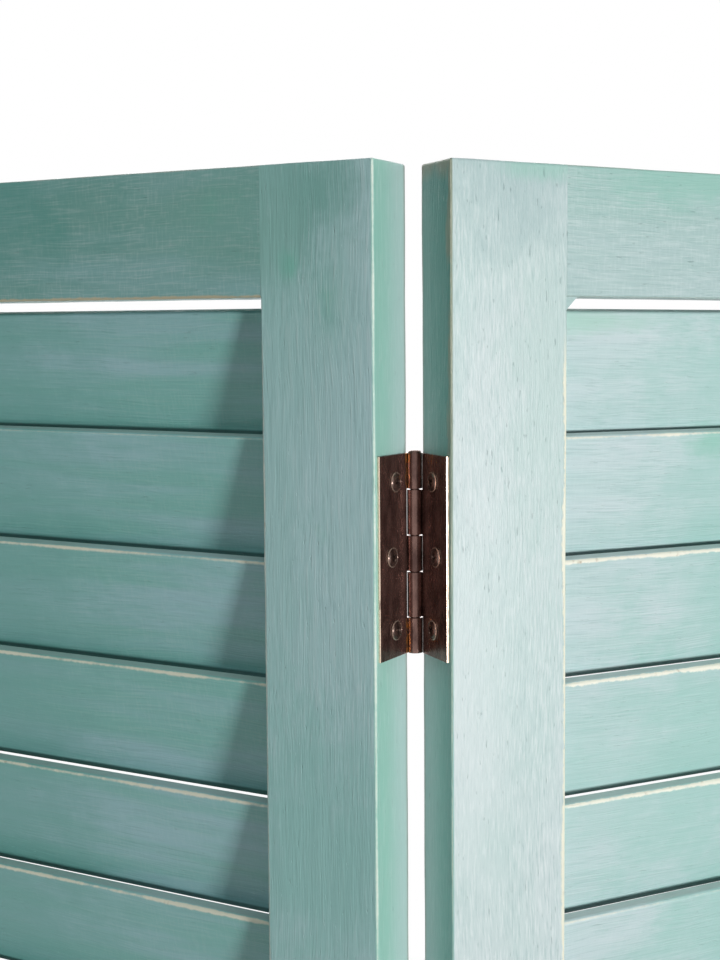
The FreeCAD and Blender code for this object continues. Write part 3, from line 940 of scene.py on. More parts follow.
@dataclass
class Timber:
    """Sizes of a panel's boards and slats, and the pieces that are modelled once and copied.

    The limits of the slats' shifts and of the beads' sizes are in millimetres, those of the slats' lean
    and skew in degrees.
    """

    width: float = 400 * MM
    height: float = 1700 * MM
    thickness: float = 20 * MM
    stile_width: float = 40.5 * MM
    rail_height: float = 40.5 * MM
    foot: float = 57.5 * MM
    outer_round: float = 0.8 * MM
    outer_round_steps: int = 4
    inner_round: float = 0.5 * MM
    inner_round_steps: int = 3
    slat_width: float = 41.1 * MM
    slat_thickness: float = 5 * MM
    slat_round: float = 0.5 * MM
    slat_round_steps: int = 2
    slat_front_round: float = 1.0 * MM
    slat_front_steps: int = 4
    slat_tilt: float = math.radians(13)
    slat_end_gap: float = 3.35 * MM
    slat_back_gap: float = 1.05 * MM
    slat_tongue: float = 6 * MM
    slot_clearance: float = 0.1 * MM
    slat_count: int = 19
    slat_wear: tuple[float, float] = (0.4, 1.3)
    slat_shift: tuple[float, float] = (0.2, 0.25)
    slat_lean: float = 0.4
    slat_skew: float = 0.05
    dowel_radius: float = 4.05 * MM
    dowel_sides: int = 20
    dowel_edge: float = 10 * MM
    dowel_sink: float = 18.5 * MM
    dowel_rail_depth: float = 20.5 * MM
    cutter_spare: float = 2 * MM
    bead_sizes: tuple[float, float] = (0.4, 1.3)
    bead_sink: float = 0.1 * MM
    bead_hollow: float = 0.24
    bead_steps: int = 5
    face_cuts: tuple[float, ...] = (0.2, 0.4, 0.6, 0.8)
    stile_cuts: int = 99
    rail_cuts: int = 49
    slat_cuts: int = 15
    halved_edge: float = 10 * MM
    unevenness: float = 0.4 * MM
    sanding_scale: float = 22 * MM
    sanding_layers: int = 2

    def opening(self) -> float:
        """Height of each of the two louvred openings."""
        return (self.height - self.foot - 3 * self.rail_height) / 2

    def rail_bases(self) -> dict[str, float]:
        """Heights of the rails' lower edges."""
        middle = self.foot + self.rail_height + self.opening()
        return {"top_rail": self.height - self.rail_height, "middle_rail": middle, "bottom_rail": self.foot}

    def opening_bases(self) -> dict[str, float]:
        """Heights of the openings' lower edges."""
        below = {"upper": "middle_rail", "lower": "bottom_rail"}
        return {level: self.rail_bases()[rail] + self.rail_height for level, rail in below.items()}

    def stile_faces(self, side: Side) -> tuple[float, float]:
        """Places of a stile's outer and inner faces across the panel."""
        left, right = (0.0, self.stile_width), (self.width, self.width - self.stile_width)
        return left if side is Side.LEFT else right

    def slat_places(self, base: float) -> list[Vector]:
        """Lower front corners of the slats of an opening.

        Args:
            base: Height of the opening's lower edge.

        Returns:
            A corner for each slat, from the lowest up, at the left end of its tongue.
        """
        rise = self.slat_width * math.cos(self.slat_tilt) + self.slat_thickness * math.sin(self.slat_tilt)
        step = (self.opening() - rise - 2 * self.slat_end_gap) / (self.slat_count - 1)
        left = self.stile_width - self.slat_tongue
        front = self.thickness - self.slat_back_gap - self.slat_thickness * math.cos(self.slat_tilt)
        first = base + self.slat_end_gap
        return [Vector((left, front, first + index * step)) for index in range(self.slat_count)]

    def slot_cutters(self, inner: float, inwards: float) -> list[Piece]:
        """Cutters for the slat slots of a stile.

        Args:
            inner: Place of the stile's inner face across the panel.
            inwards: One if the stile lies to the right of that face, or minus one.

        Returns:
            A slanted block for each slat of both openings.
        """
        reach = self.slat_tongue + self.slot_clearance
        ends = sorted((inner + inwards * reach, inner - inwards * reach))
        grow = Vector((0, self.slot_clearance, self.slot_clearance))
        size = Vector((ends[1] - ends[0], self.slat_thickness, self.slat_width))
        cutters = []
        for base in self.opening_bases().values():
            for corner in self.slat_places(base):
                cutter = block("slot_cutter", -grow, size + grow)
                place = Matrix.Translation((ends[0], corner.y, corner.z))
                put(cutter, place @ Matrix.Rotation(self.slat_tilt, 4, "X"))
                cutters.append(cutter)
        return cutters

    def dowel_cutters(self, bases: list[float], face: float, inwards: float, depth: float) -> list[Piece]:
        """Cutters for the dowel holes in one face of a board.

        Args:
            bases: Heights of the lower edges of the rails that meet the face.
            face: Place of the face across the panel.
            inwards: One if the board lies to the right of the face, or minus one.
            depth: Depth of the holes.

        Returns:
            Two rods for each rail.
        """
        way = Vector((inwards, 0, 0))
        length = depth + self.cutter_spare
        cutters = []
        for base in bases:
            for height in (base + self.dowel_edge, base + self.rail_height - self.dowel_edge):
                start = Vector((face - inwards * self.cutter_spare, self.thickness / 2, height))
                cutters.append(rod("dowel_cutter", self.dowel_radius, start, length, way, self.dowel_sides))
        return cutters

    def stile(self, side: Side) -> Piece:
        """Model an upright board with rounded edges, slat slots and dowel holes.

        Args:
            side: Side of the panel that the board is for.

        Returns:
            The board in the panel's frame.
        """
        outer, inner = self.stile_faces(side)
        low = Vector((min(outer, inner), 0, 0))
        high = Vector((max(outer, inner), self.thickness, self.height))
        piece = block(f"{side.value}_stile", low, high)
        bases = list(self.rail_bases().values())

        def in_opening(edge: Edge) -> bool:
            """Find the upright inner edges that no rail covers.

            Args:
                edge: Edge of the board.

            Returns:
                Whether the edge is one of them.
            """
            middle = middle_of(edge)
            covered = any(base < middle.z < base + self.rail_height for base in bases)
            return abs(middle.x - inner) < MERGE and runs(edge, Z_AXIS) and not covered

        with editing(piece):
            choose(piece, Element.EDGE, lambda edge: abs(middle_of(edge).x - inner) > MERGE)
            round_off(self.outer_round, self.outer_round_steps)
            for base in bases:
                for height in (base, base + self.rail_height):
                    if height < self.height - MERGE:
                        slice_through(Z_AXIS, height)
            choose(piece, Element.EDGE, in_opening)
            round_off(self.inner_round, self.inner_round_steps)
            for share in self.face_cuts:
                slice_through(X_AXIS, low.x + share * self.stile_width)
                slice_through(Y_AXIS, share * self.thickness)
        divide(piece, Z_AXIS, LONG_EDGE, self.stile_cuts)
        divide(piece, Z_AXIS, self.halved_edge, 1)
        inwards = 1.0 if side is Side.RIGHT else -1.0
        cut(piece, self.slot_cutters(inner, inwards))
        cut(piece, self.dowel_cutters(bases, inner, inwards, self.dowel_sink))
        return piece

    def rail(self) -> Piece:
        """Model a cross board with rounded edges and dowel holes, its lower edge at the floor.

        Returns:
            The board in the panel's frame.
        """
        left, right = self.stile_width, self.width - self.stile_width
        piece = block("rail", Vector((left, 0, 0)), Vector((right, self.thickness, self.rail_height)))
        with editing(piece):
            choose(piece, Element.EDGE, lambda edge: runs(edge, X_AXIS))
            round_off(self.outer_round, self.outer_round_steps)
            for share in self.face_cuts:
                slice_through(Y_AXIS, share * self.thickness)
                slice_through(Z_AXIS, share * self.rail_height)
        divide(piece, X_AXIS, LONG_EDGE, self.rail_cuts)
        for face, inwards in ((left, 1.0), (right, -1.0)):
            cut(piece, self.dowel_cutters([0.0], face, inwards, self.dowel_rail_depth))
        return piece

    def bead(self, size: float) -> Piece:
        """Model a hollow bead of paint that fills the corner below a rail and right of a stile.

        Args:
            size: Width and height of the bead.

        Returns:
            The bead, with the corner that it fills on the y axis.
        """
        low = Vector((-self.bead_sink, self.outer_round, -size))
        piece = block("bead", low, Vector((size, self.thickness - self.outer_round, self.bead_sink)))

        def on_corner(edge: Edge) -> bool:
            """Whether an edge is the one that faces out of the corner."""
            middle = middle_of(edge)
            return runs(edge, Y_AXIS) and middle.x > 0 and middle.z < 0

        with editing(piece):
            choose(piece, Element.EDGE, on_corner)
            round_off(size, self.bead_steps, self.bead_hollow)
        return piece

    def slat(self) -> Piece:
        """Model one slat upright, its lower front corner at the origin.

        Returns:
            The slat, which carries how far each point is down and behind its top front edge.
        """
        length = self.width - 2 * self.stile_width + 2 * self.slat_tongue
        piece = block("slat", ORIGIN, Vector((length, self.slat_thickness, self.slat_width)))

        def on_top_front(edge: Edge) -> bool:
            """Whether an edge is the one that hands and dusters rub."""
            middle = middle_of(edge)
            return middle.y < MERGE and middle.z > self.slat_width - MERGE

        with editing(piece):
            choose(piece, Element.EDGE, lambda edge: runs(edge, X_AXIS) and not on_top_front(edge))
            round_off(self.slat_round, self.slat_round_steps)
            choose(piece, Element.EDGE, lambda edge: runs(edge, X_AXIS) and on_top_front(edge))
            round_off(self.slat_front_round, self.slat_front_steps)
        divide(piece, X_AXIS, LONG_EDGE, self.slat_cuts)
        mark(piece, "slat_down", [self.slat_width - point.co.z for point in piece.data.vertices])
        mark(piece, "slat_behind", [point.co.y for point in piece.data.vertices])
        return piece

    def bank(
        self, name: str, slat: Piece, base: float, known: tuple[SlatState, ...], chance: random.Random
    ) -> Piece:
        """Set copies of the slat into an opening, each a little out of true.

        Args:
            name: Name of the bank.
            slat: The slat that is copied.
            base: Height of the opening's lower edge.
            known: States of the uppermost slats, from the top down.
            chance: Source of the small errors and the wear of the other slats.

        Returns:
            All the slats of the opening as one piece in the panel's frame.
        """
        def either_way(most: float) -> float:
            """Error of up to a size, one way or the other."""
            return chance.uniform(-most, most)

        slats = []
        for index, corner in enumerate(self.slat_places(base)):
            twin = copy_of(slat, "slat_copy")
            tone, wear = chance.random(), chance.uniform(*self.slat_wear)
            shift = Vector((0, *(either_way(most) * MM for most in self.slat_shift)))
            lean, skew = (math.radians(either_way(most)) for most in (self.slat_lean, self.slat_skew))
            from_top = self.slat_count - 1 - index
            if from_top < len(known):
                wear, shift, lean = known[from_top].wear, Vector((0, 0, -known[from_top].drop)), 0.0
            points = len(twin.data.vertices)
            mark(twin, "slat_tone", [tone] * points)
            mark(twin, "slat_wear", [wear] * points)
            turn = Matrix.Rotation(skew, 4, "Y") @ Matrix.Rotation(self.slat_tilt + lean, 4, "X")
            put(twin, Matrix.Translation(corner + shift) @ turn)
            slats.append(twin)
        return joined(name, slats)


# Corners of each rail that face an opening, numbered from the lower left to the lower right and on round
BEAD_CORNERS = {"top_rail": (0, 1), "middle_rail": (0, 1, 2, 3), "bottom_rail": (2, 3)}


@dataclass
class Panel:
    """One panel of the screen: where it stands, its timber and the paint of its pieces."""

    name: str
    turn: float
    pivot_on_panel: Vector
    pivot: Vector
    timber: Timber
    paints: PaintScheme
    barrels: dict[Side, Barrel]
    top_slats: tuple[SlatState, ...] = ()
    beads: dict[str, dict[int, float]] = field(default_factory=dict)

    def place(self) -> Matrix:
        """Turn and place of the panel's frame in the screen."""
        turn = Matrix.Rotation(self.turn, 4, "Z")
        return Matrix.Translation(self.pivot) @ turn @ Matrix.Translation(-self.pivot_on_panel)

    def origin(self) -> Vector:
        """Place of the panel's own corner in the screen."""
        return self.place().translation

    def roughen(self, piece: Piece) -> None:
        """Waver a board's surface a little, as hand sanding leaves it.

        Args:
            piece: Board at its place in the screen.
        """
        sanding = bpy.data.textures.new("sanding", "CLOUDS")
        sanding.noise_scale = self.timber.sanding_scale
        sanding.noise_depth = self.timber.sanding_layers
        depth = self.timber.unevenness
        work(piece, "DISPLACE", texture=sanding, texture_coords="LOCAL", strength=depth, mid_level=0.5)

    def build_stiles(
        self, masters: dict[Side, Piece], pilots: Callable[["Panel", Side], list[Piece]]
    ) -> None:
        """Build the two stiles.

        Args:
            masters: The stiles that are copied.
            pilots: Maker of the cutters for a stile's screw holes.
        """
        for side, master in masters.items():
            node = f"{self.name}_{side.value}_stile"
            piece = copy_of(master, f"{node}_dressed")
            if side in self.barrels:
                cut(piece, pilots(self, side))
            put(piece, self.place())
            self.roughen(piece)
            finish_mesh(piece)
            board = PaintedBoard(node, self.paints.stile, self, Grain.UPRIGHT)
            finish = board.stile(*self.timber.stile_faces(side))
            settle(piece, self.name, node, finish)

    def corner_beads(self, part: str, chance: random.Random) -> list[Piece]:
        """Fill the corners between a rail and the stiles with beads of paint.

        Args:
            part: Name of the rail.
            chance: Source of the beads' sizes.

        Returns:
            The beads in the rail's frame.
        """
        timber = self.timber
        left, right, rise = timber.stile_width, timber.width - timber.stile_width, timber.rail_height
        places = ((left, 0), (right, 0), (right, rise), (left, rise))
        sizes = {corner: chance.uniform(*timber.bead_sizes) * MM for corner in range(len(places))}
        sizes.update(self.beads.get(part, {}))
        beads = []
        for corner in BEAD_CORNERS[part]:
            bead = timber.bead(sizes[corner])
            x, z = places[corner]
            put(bead, Matrix.Translation((x, 0, z)) @ Matrix.Rotation(corner * QUARTER_TURN, 4, "Y"))
            beads.append(bead)
        return beads

    def build_rails(self, master: Piece, chance: random.Random) -> None:
        """Build the three rails.

        Args:
            master: The rail that is copied.
            chance: Source of the sizes of the beads in the rails' corners.
        """
        for part, base in self.timber.rail_bases().items():
            node = f"{self.name}_{part}"
            piece = copy_of(master, f"{node}_dressed")
            piece = joined(piece.name, [piece, *self.corner_beads(part, chance)])
            put(piece, self.place() @ Matrix.Translation((0, 0, base)))
            self.roughen(piece)
            finish_mesh(piece)
            finish = PaintedBoard(node, self.paints.rail, self, Grain.LEVEL).rail(base)
            settle(piece, self.name, node, finish)

    def build_banks(self, slat: Piece, chance: random.Random) -> None:
        """Build the two banks of slats.

        Args:
            slat: The slat that is copied.
            chance: Source of the slats' small errors.
        """
        for level, base in self.timber.opening_bases().items():
            node = f"{self.name}_{level}_louvres"
            known = self.top_slats if level == "upper" else ()
            piece = self.timber.bank(f"{node}_dressed", slat, base, known, chance)
            put(piece, self.place())
            finish_mesh(piece)
            finish = PaintedBoard(node, self.paints.slat, self, Grain.LEVEL).slats()
            settle(piece, self.name, node, finish)

    def finish_dowels(self, beech: BareBeech) -> None:
        """Give the panel's dowels their bare wood.

        Args:
            beech: Finish of the dowels.
        """
        node = frame["nodes"][f"{self.name}_dowels"]
        node.data.materials.clear()
        node.data.materials.append(beech.material(self))
        log.info("%s: bare wood", node.name)


# Hinges


@dataclass
class HingeMaker:
    """Sizes of the butt hinges, and the pieces that are modelled once and copied.

    In a leaf's own frame the pin is on the z axis, the plate runs along +x and its seat faces +y. The
    smoothing angles and the screws' turns are in degrees.
    """

    length: float = 63 * MM
    end_distance: float = 88.7 * MM
    leaf_width: float = 19 * MM
    sheet: float = 0.9 * MM
    knuckle_radius: float = 2.4 * MM
    notch: float = 2.3 * MM
    setback: float = 0.5 * MM
    long_knuckle: float = 14.1 * MM
    knuckle_gap: float = 0.35 * MM
    rub_width: float = 1.0 * MM
    rub_depth: float = 0.1 * MM
    sheared_width: float = 0.3 * MM
    sheared_facing: float = 0.5
    roll: float = math.radians(306)
    roll_steps: int = 34
    leaf_round: float = 0.14 * MM
    leaf_round_steps: int = 2
    sharp: float = math.radians(50)
    leaf_smooth: float = 32
    pin_radius: float = 1.45 * MM
    pin_head_radius: float = 2.1 * MM
    pin_head_height: float = 0.9 * MM
    pin_dome: tuple[tuple[float, float], ...] = ((0.35 * MM, 1.1), (0.5 * MM, 0.6), (0.6 * MM, 0.3))
    screw_end: float = 8.5 * MM
    screw_near: float = 9.5 * MM
    screw_far: float = 11.8 * MM
    screw_radius: float = 3.1 * MM
    screw_stand: float = 0.3 * MM
    screw_rim: float = 0.14 * MM
    screw_ring: float = 0.35 * MM
    ring_facing: float = -0.1
    screw_dome: tuple[tuple[float, float], ...] = (
        (0.3 * MM, 0.1 * MM), (0.14 * MM, -0.12 * MM), (0.3 * MM, 0.3 * MM), (0.6 * MM, 0.2 * MM),
        (0.8 * MM, 0.1 * MM)
    )
    screw_smooth: float = 30
    shank_radius: float = 1.75 * MM
    screw_reach: float = 16 * MM
    screw_tip: float = 4 * MM
    tip_share: float = 0.08
    hole_radius: float = 2 * MM
    hole_spare: float = 0.3 * MM
    pilot_spare: float = 0.5 * MM
    pilot_sides: int = 16
    round_sides: int = 28
    recess_length: float = 3.4 * MM
    recess_width: float = 0.8 * MM
    recess_depth: float = 1.0 * MM
    recess_taper: float = 0.55
    recess_spare: float = 1 * MM
    first_turn: float = 10
    turn_step: float = 37

    def leaf_face(self) -> float:
        """Place of a leaf's open face in front of the pin's middle."""
        return self.knuckle_radius - self.sheet

    def short_knuckle(self) -> float:
        """Length of each of the three knuckles of a wing leaf."""
        return (self.length - 2 * self.long_knuckle - 4 * self.knuckle_gap) / 3

    def screw_places(self) -> list[tuple[float, float]]:
        """Distances of the screws from the pin and from the leaf's end."""
        heights = (self.screw_end, self.length / 2, self.length - self.screw_end)
        return list(zip((self.screw_near, self.screw_far, self.screw_near), heights))

    def knuckle_spans(self, first: float, length: float, count: int) -> list[tuple[float, float]]:
        """Lower and upper ends of a leaf's knuckles, by the foot of the first, their length and number."""
        step = self.short_knuckle() + self.long_knuckle + 2 * self.knuckle_gap
        return [(first + index * step, first + index * step + length) for index in range(count)]

    def wing_spans(self) -> list[tuple[float, float]]:
        """Lower and upper ends of the three short knuckles."""
        return self.knuckle_spans(0.0, self.short_knuckle(), 3)

    def centre_spans(self) -> list[tuple[float, float]]:
        """Lower and upper ends of the two long knuckles."""
        return self.knuckle_spans(self.short_knuckle() + self.knuckle_gap, self.long_knuckle, 2)

    def leaf(self, name: str, spans: list[tuple[float, float]], handled: bool) -> Piece:
        """Model a leaf: a plate, straps, knuckles rolled from them, and countersunk holes.

        Args:
            name: Name of the leaf.
            spans: Lower and upper ends of its knuckles.
            handled: Whether its end straps are rubbed to brass.

        Returns:
            The leaf in its own frame.
        """
        face = self.leaf_face()
        high = Vector((self.leaf_width, self.knuckle_radius, self.length))
        piece = block(name, Vector((self.notch, face, 0)), high)

        def on_strap(side: Face) -> bool:
            """Whether a face is where a strap leaves the plate."""
            height = side.calc_center_median().z
            return side.normal.x < -ALONG and any(start < height < end for start, end in spans)

        def is_sharp(edge: Edge) -> bool:
            """Whether the faces of an edge meet at a sharp angle."""
            return edge.is_manifold and edge.calc_face_angle() > self.sharp

        with editing(piece):
            for height in sorted({height for span in spans for height in span}):
                if MERGE < height < self.length - MERGE:
                    slice_through(Z_AXIS, height)
            slice_through(X_AXIS, self.notch + self.rub_width)
            choose(piece, Element.FACE, on_strap)
            push((-self.notch, 0, 0))
            bpy.ops.mesh.spin(steps=self.roll_steps, angle=-self.roll, center=ORIGIN, axis=Z_AXIS)
            choose(piece, Element.EDGE, is_sharp)
            round_off(self.leaf_round, self.leaf_round_steps)
        holes = [Vector((offset, face, height)) for offset, height in self.screw_places()]
        cut(piece, [self.countersink(hole) for hole in holes])
        finish_mesh(piece, self.leaf_smooth)
        end = self.leaf_width - self.sheared_width
        sides = piece.data.polygons
        sheared = [side.center.x > end and side.normal.x > self.sheared_facing for side in sides]
        mark(piece, "sheared", sheared, "FACE")
        if handled:
            ends = (spans[0][1], spans[-1][0])
            mark(piece, "rubbed", [self.on_end_strap(side.center, ends) for side in sides], "FACE")
        return piece

    def on_end_strap(self, middle: Vector, ends: tuple[float, float]) -> bool:
        """Whether a face is on a strap that a hand and a screwdriver rub.

        Args:
            middle: Middle of the face.
            ends: Top of the leaf's first knuckle and foot of its last.

        Returns:
            True on the straps of those two knuckles.
        """
        outside = middle.z < ends[0] or middle.z > ends[1]
        on_plate = middle.y > self.leaf_face() - self.rub_depth
        return outside and on_plate and 0 < middle.x < self.notch + self.rub_width

    def countersink(self, at: Vector) -> Piece:
        """Cutter for a countersunk screw hole.

        Args:
            at: Middle of the hole on the leaf's open face.

        Returns:
            A cone that widens out of the face.
        """
        wide = self.hole_radius + self.sheet + self.hole_spare
        depth = self.sheet + 2 * self.hole_spare
        return started(
            "countersink_cutter", bpy.ops.mesh.primitive_cone_add, vertices=self.round_sides, radius1=wide,
            radius2=wide - depth, depth=depth, location=at + Vector((0, self.sheet / 2, 0)),
            rotation=(-QUARTER_TURN, 0, 0)
        )

    def pin(self) -> Piece:
        """Model a pin with a domed head on the top knuckle.

        Returns:
            The pin, its foot at the origin.
        """
        piece = rod("pin", self.pin_radius, ORIGIN, self.length, Z_AXIS, self.round_sides)
        rise = self.pin_head_height / 3
        with editing(piece):
            choose(piece, Element.FACE, lambda face: face.normal.z > ALONG)
            push((0, 0, 0))
            swell(self.pin_head_radius / self.pin_radius, self.length)
            push((0, 0, rise))
            for width, share in self.pin_dome:
                bpy.ops.mesh.inset(thickness=width, depth=rise * share)
        finish_mesh(piece)
        return piece

    def screw(self) -> Piece:
        """Model a raised countersunk screw with a ringed head and a cross recess.

        Returns:
            The screw, its origin at the leaf's face and its head towards +z.
        """
        foot = self.screw_stand - self.screw_rim
        start = Vector((0, 0, foot))
        piece = rod("screw", self.screw_radius, start, self.screw_rim, Z_AXIS, self.round_sides)
        cone = self.screw_radius - self.shank_radius
        end = -self.sheet - self.screw_reach
        with editing(piece):
            choose(piece, Element.FACE, lambda face: face.normal.z < -ALONG)
            push((0, 0, -cone))
            swell(self.shank_radius / self.screw_radius, foot - cone)
            push((0, 0, end + self.screw_tip - foot + cone))
            push((0, 0, -self.screw_tip))
            swell(self.tip_share, end)
            choose(piece, Element.FACE, lambda face: face.normal.z > ALONG)
            for width, rise in self.screw_dome:
                bpy.ops.mesh.inset(thickness=width, depth=rise)
        top = max(point.co.z for point in piece.data.vertices)
        half_length, half_width = self.recess_length / 2, self.recess_width / 2
        for half_x, half_y in ((half_length, half_width), (half_width, half_length)):
            low = Vector((-half_x, -half_y, top - self.recess_depth))
            cutter = block("recess_cutter", low, Vector((half_x, half_y, top + self.recess_spare)))
            with editing(cutter):
                choose(cutter, Element.FACE, lambda face: face.normal.z < -ALONG)
                swell(self.recess_taper, low.z)
            cut(piece, [cutter])
        finish_mesh(piece, self.screw_smooth)
        inner = self.screw_radius - self.screw_ring
        ring = []
        for side in piece.data.polygons:
            outside = side.center.xy.length > inner and side.center.z > 0
            ring.append(outside and side.normal.z > self.ring_facing)
        mark(piece, "sheared", ring, "FACE")
        return piece

    def screw_set(self, name: str, screw: Piece, first_turn: float) -> Piece:
        """Set copies of the screw into a leaf, each with its recess as the screwdriver left it.

        Args:
            name: Name of the set.
            screw: The screw that is copied.
            first_turn: Turn of the first screw, in degrees.

        Returns:
            The leaf's screws as one piece in the leaf's frame.
        """
        screws = []
        for index, (offset, height) in enumerate(self.screw_places()):
            twin = copy_of(screw, "screw_copy")
            turn = Matrix.Rotation(math.radians(first_turn + index * self.turn_step), 4, "Z")
            place = Matrix.Translation((offset, self.leaf_face(), height))
            put(twin, place @ Matrix.Rotation(QUARTER_TURN, 4, "X") @ turn)
            screws.append(twin)
        return joined(name, screws)

    def levels(self, height: float) -> dict[str, float]:
        """Heights of the hinges' lower ends on a panel of a height."""
        top = height - self.end_distance - self.length
        return {"top": top, "middle": (self.end_distance + top) / 2, "bottom": self.end_distance}

    def axis_on(self, timber: Timber, side: Side, barrel: Barrel) -> Vector:
        """Place of the hinge pins at one edge of a panel, in the panel's frame.

        Args:
            timber: Sizes of the panel.
            side: Edge of the panel.
            barrel: Face of the panel on which the barrels stand.

        Returns:
            Point of the pins' line at the floor.
        """
        x = timber.width + self.knuckle_radius if side is Side.RIGHT else -self.knuckle_radius
        y = timber.thickness + self.setback if barrel is Barrel.BACK else -self.setback
        return Vector((x, y, 0))

    def leaf_place(self, panel: Panel, side: Side, base: float) -> Matrix:
        """Turn and place of a leaf at one edge of a panel.

        Args:
            panel: Panel that the leaf is screwed to.
            side: Edge of the panel.
            base: Height of the hinge's lower end.

        Returns:
            Placement of the leaf's frame in the screen.
        """
        barrel = panel.barrels[side]
        along = Vector((0, -1 if barrel is Barrel.BACK else 1, 0))
        seat = Vector((-1 if side is Side.RIGHT else 1, 0, 0))
        stands = along.cross(seat)
        height = base if stands.z > 0 else base + self.length
        turn = Matrix((along, seat, stands)).transposed().to_4x4()
        axis = self.axis_on(panel.timber, side, barrel)
        return panel.place() @ Matrix.Translation((axis.x, axis.y, height)) @ turn

    def pilots(self, panel: Panel, side: Side) -> list[Piece]:
        """Cutters for the screw holes in the edge of a stile.

        Args:
            panel: Panel of the stile.
            side: Edge of the panel.

        Returns:
            A rod for each screw, in the panel's frame.
        """
        back = panel.place().inverted()
        depth = self.sheet + self.screw_reach + self.pilot_spare
        cutters = []
        for base in self.levels(panel.timber.height).values():
            place = back @ self.leaf_place(panel, side, base)
            way = place.to_3x3() @ Y_AXIS
            for offset, height in self.screw_places():
                start = place @ Vector((offset, self.leaf_face(), height))
                cutters.append(rod("pilot_cutter", self.hole_radius, start, depth, way, self.pilot_sides))
        return cutters

    def build(
        self, joint: str, wing: Panel, wing_side: Side, centre: Panel, finishes: dict[str, Material],
        masters: dict[str, Piece], first_turn: float
    ) -> float:
        """Build the three hinges of one joint.

        Args:
            joint: Name of the joint.
            wing: Panel that swings.
            wing_side: Edge of the wing panel that is hinged.
            centre: Panel that it is hinged to.
            finishes: Materials of the steel and of the screws.
            masters: The pieces that are copied.
            first_turn: Turn of the first screw, in degrees.

        Returns:
            Turn of the next joint's first screw.
        """
        centre_side = Side.LEFT if wing_side is Side.RIGHT else Side.RIGHT
        turn = first_turn
        for level, base in self.levels(wing.timber.height).items():
            hinge = f"{joint}_{level}_hinge"
            for panel, side, word in ((wing, wing_side, "wing"), (centre, centre_side, "centre")):
                place = self.leaf_place(panel, side, base)
                node = f"{hinge}_{word}_leaf"
                piece = copy_of(masters[f"{word}_leaf"], f"{node}_dressed")
                put(piece, place)
                settle(piece, panel.name, node, finishes["steel"])
                node = f"{hinge}_{word}_screws"
                piece = self.screw_set(f"{node}_dressed", masters["screw"], turn)
                put(piece, place)
                settle(piece, panel.name, node, finishes["screw"])
                turn += self.turn_step
            node = f"{hinge}_pin"
            piece = copy_of(masters["pin"], f"{node}_dressed")
            axis = self.axis_on(wing.timber, wing_side, wing.barrels[wing_side])
            put(piece, wing.place() @ Matrix.Translation((axis.x, axis.y, base)))
            settle(piece, wing.name, node, finishes["steel"])
        return turn


# Studio


@dataclass(frozen=True)
class Lamp:
    """Square lamp that lights its aim to a level.

    Its bearing is in degrees to the right of the front and its rise in degrees above the aim. The
    level is the brightness of a white surface that faces the lamp.
    """

    name: str
    aim: tuple[float, float, float]
    bearing: float
    rise: float
    distance: float
    size: float
    level: float

    def hang(self) -> None:
        """Hang the lamp where it faces its aim."""
        angle, lift = math.radians(self.bearing), math.radians(self.rise)
        way = Vector((math.sin(angle) * math.cos(lift), -math.cos(angle) * math.cos(lift), math.sin(lift)))
        light = bpy.data.lights.new(self.name, "AREA")
        light.shape = "SQUARE"
        light.size = self.size
        light.energy = self.level * math.pi ** 2 * self.distance ** 2
        stand = bpy.data.objects.new(self.name, light)
        stand.location = Vector(self.aim) + way * self.distance
        stand.rotation_euler = way.to_track_quat("Z", "Y").to_euler()
        bpy.context.scene.collection.objects.link(stand)


TOP_HINGE = (-0.185, -0.083, 1.53)
SCREEN_MIDDLE = (0, 0, 0.9)


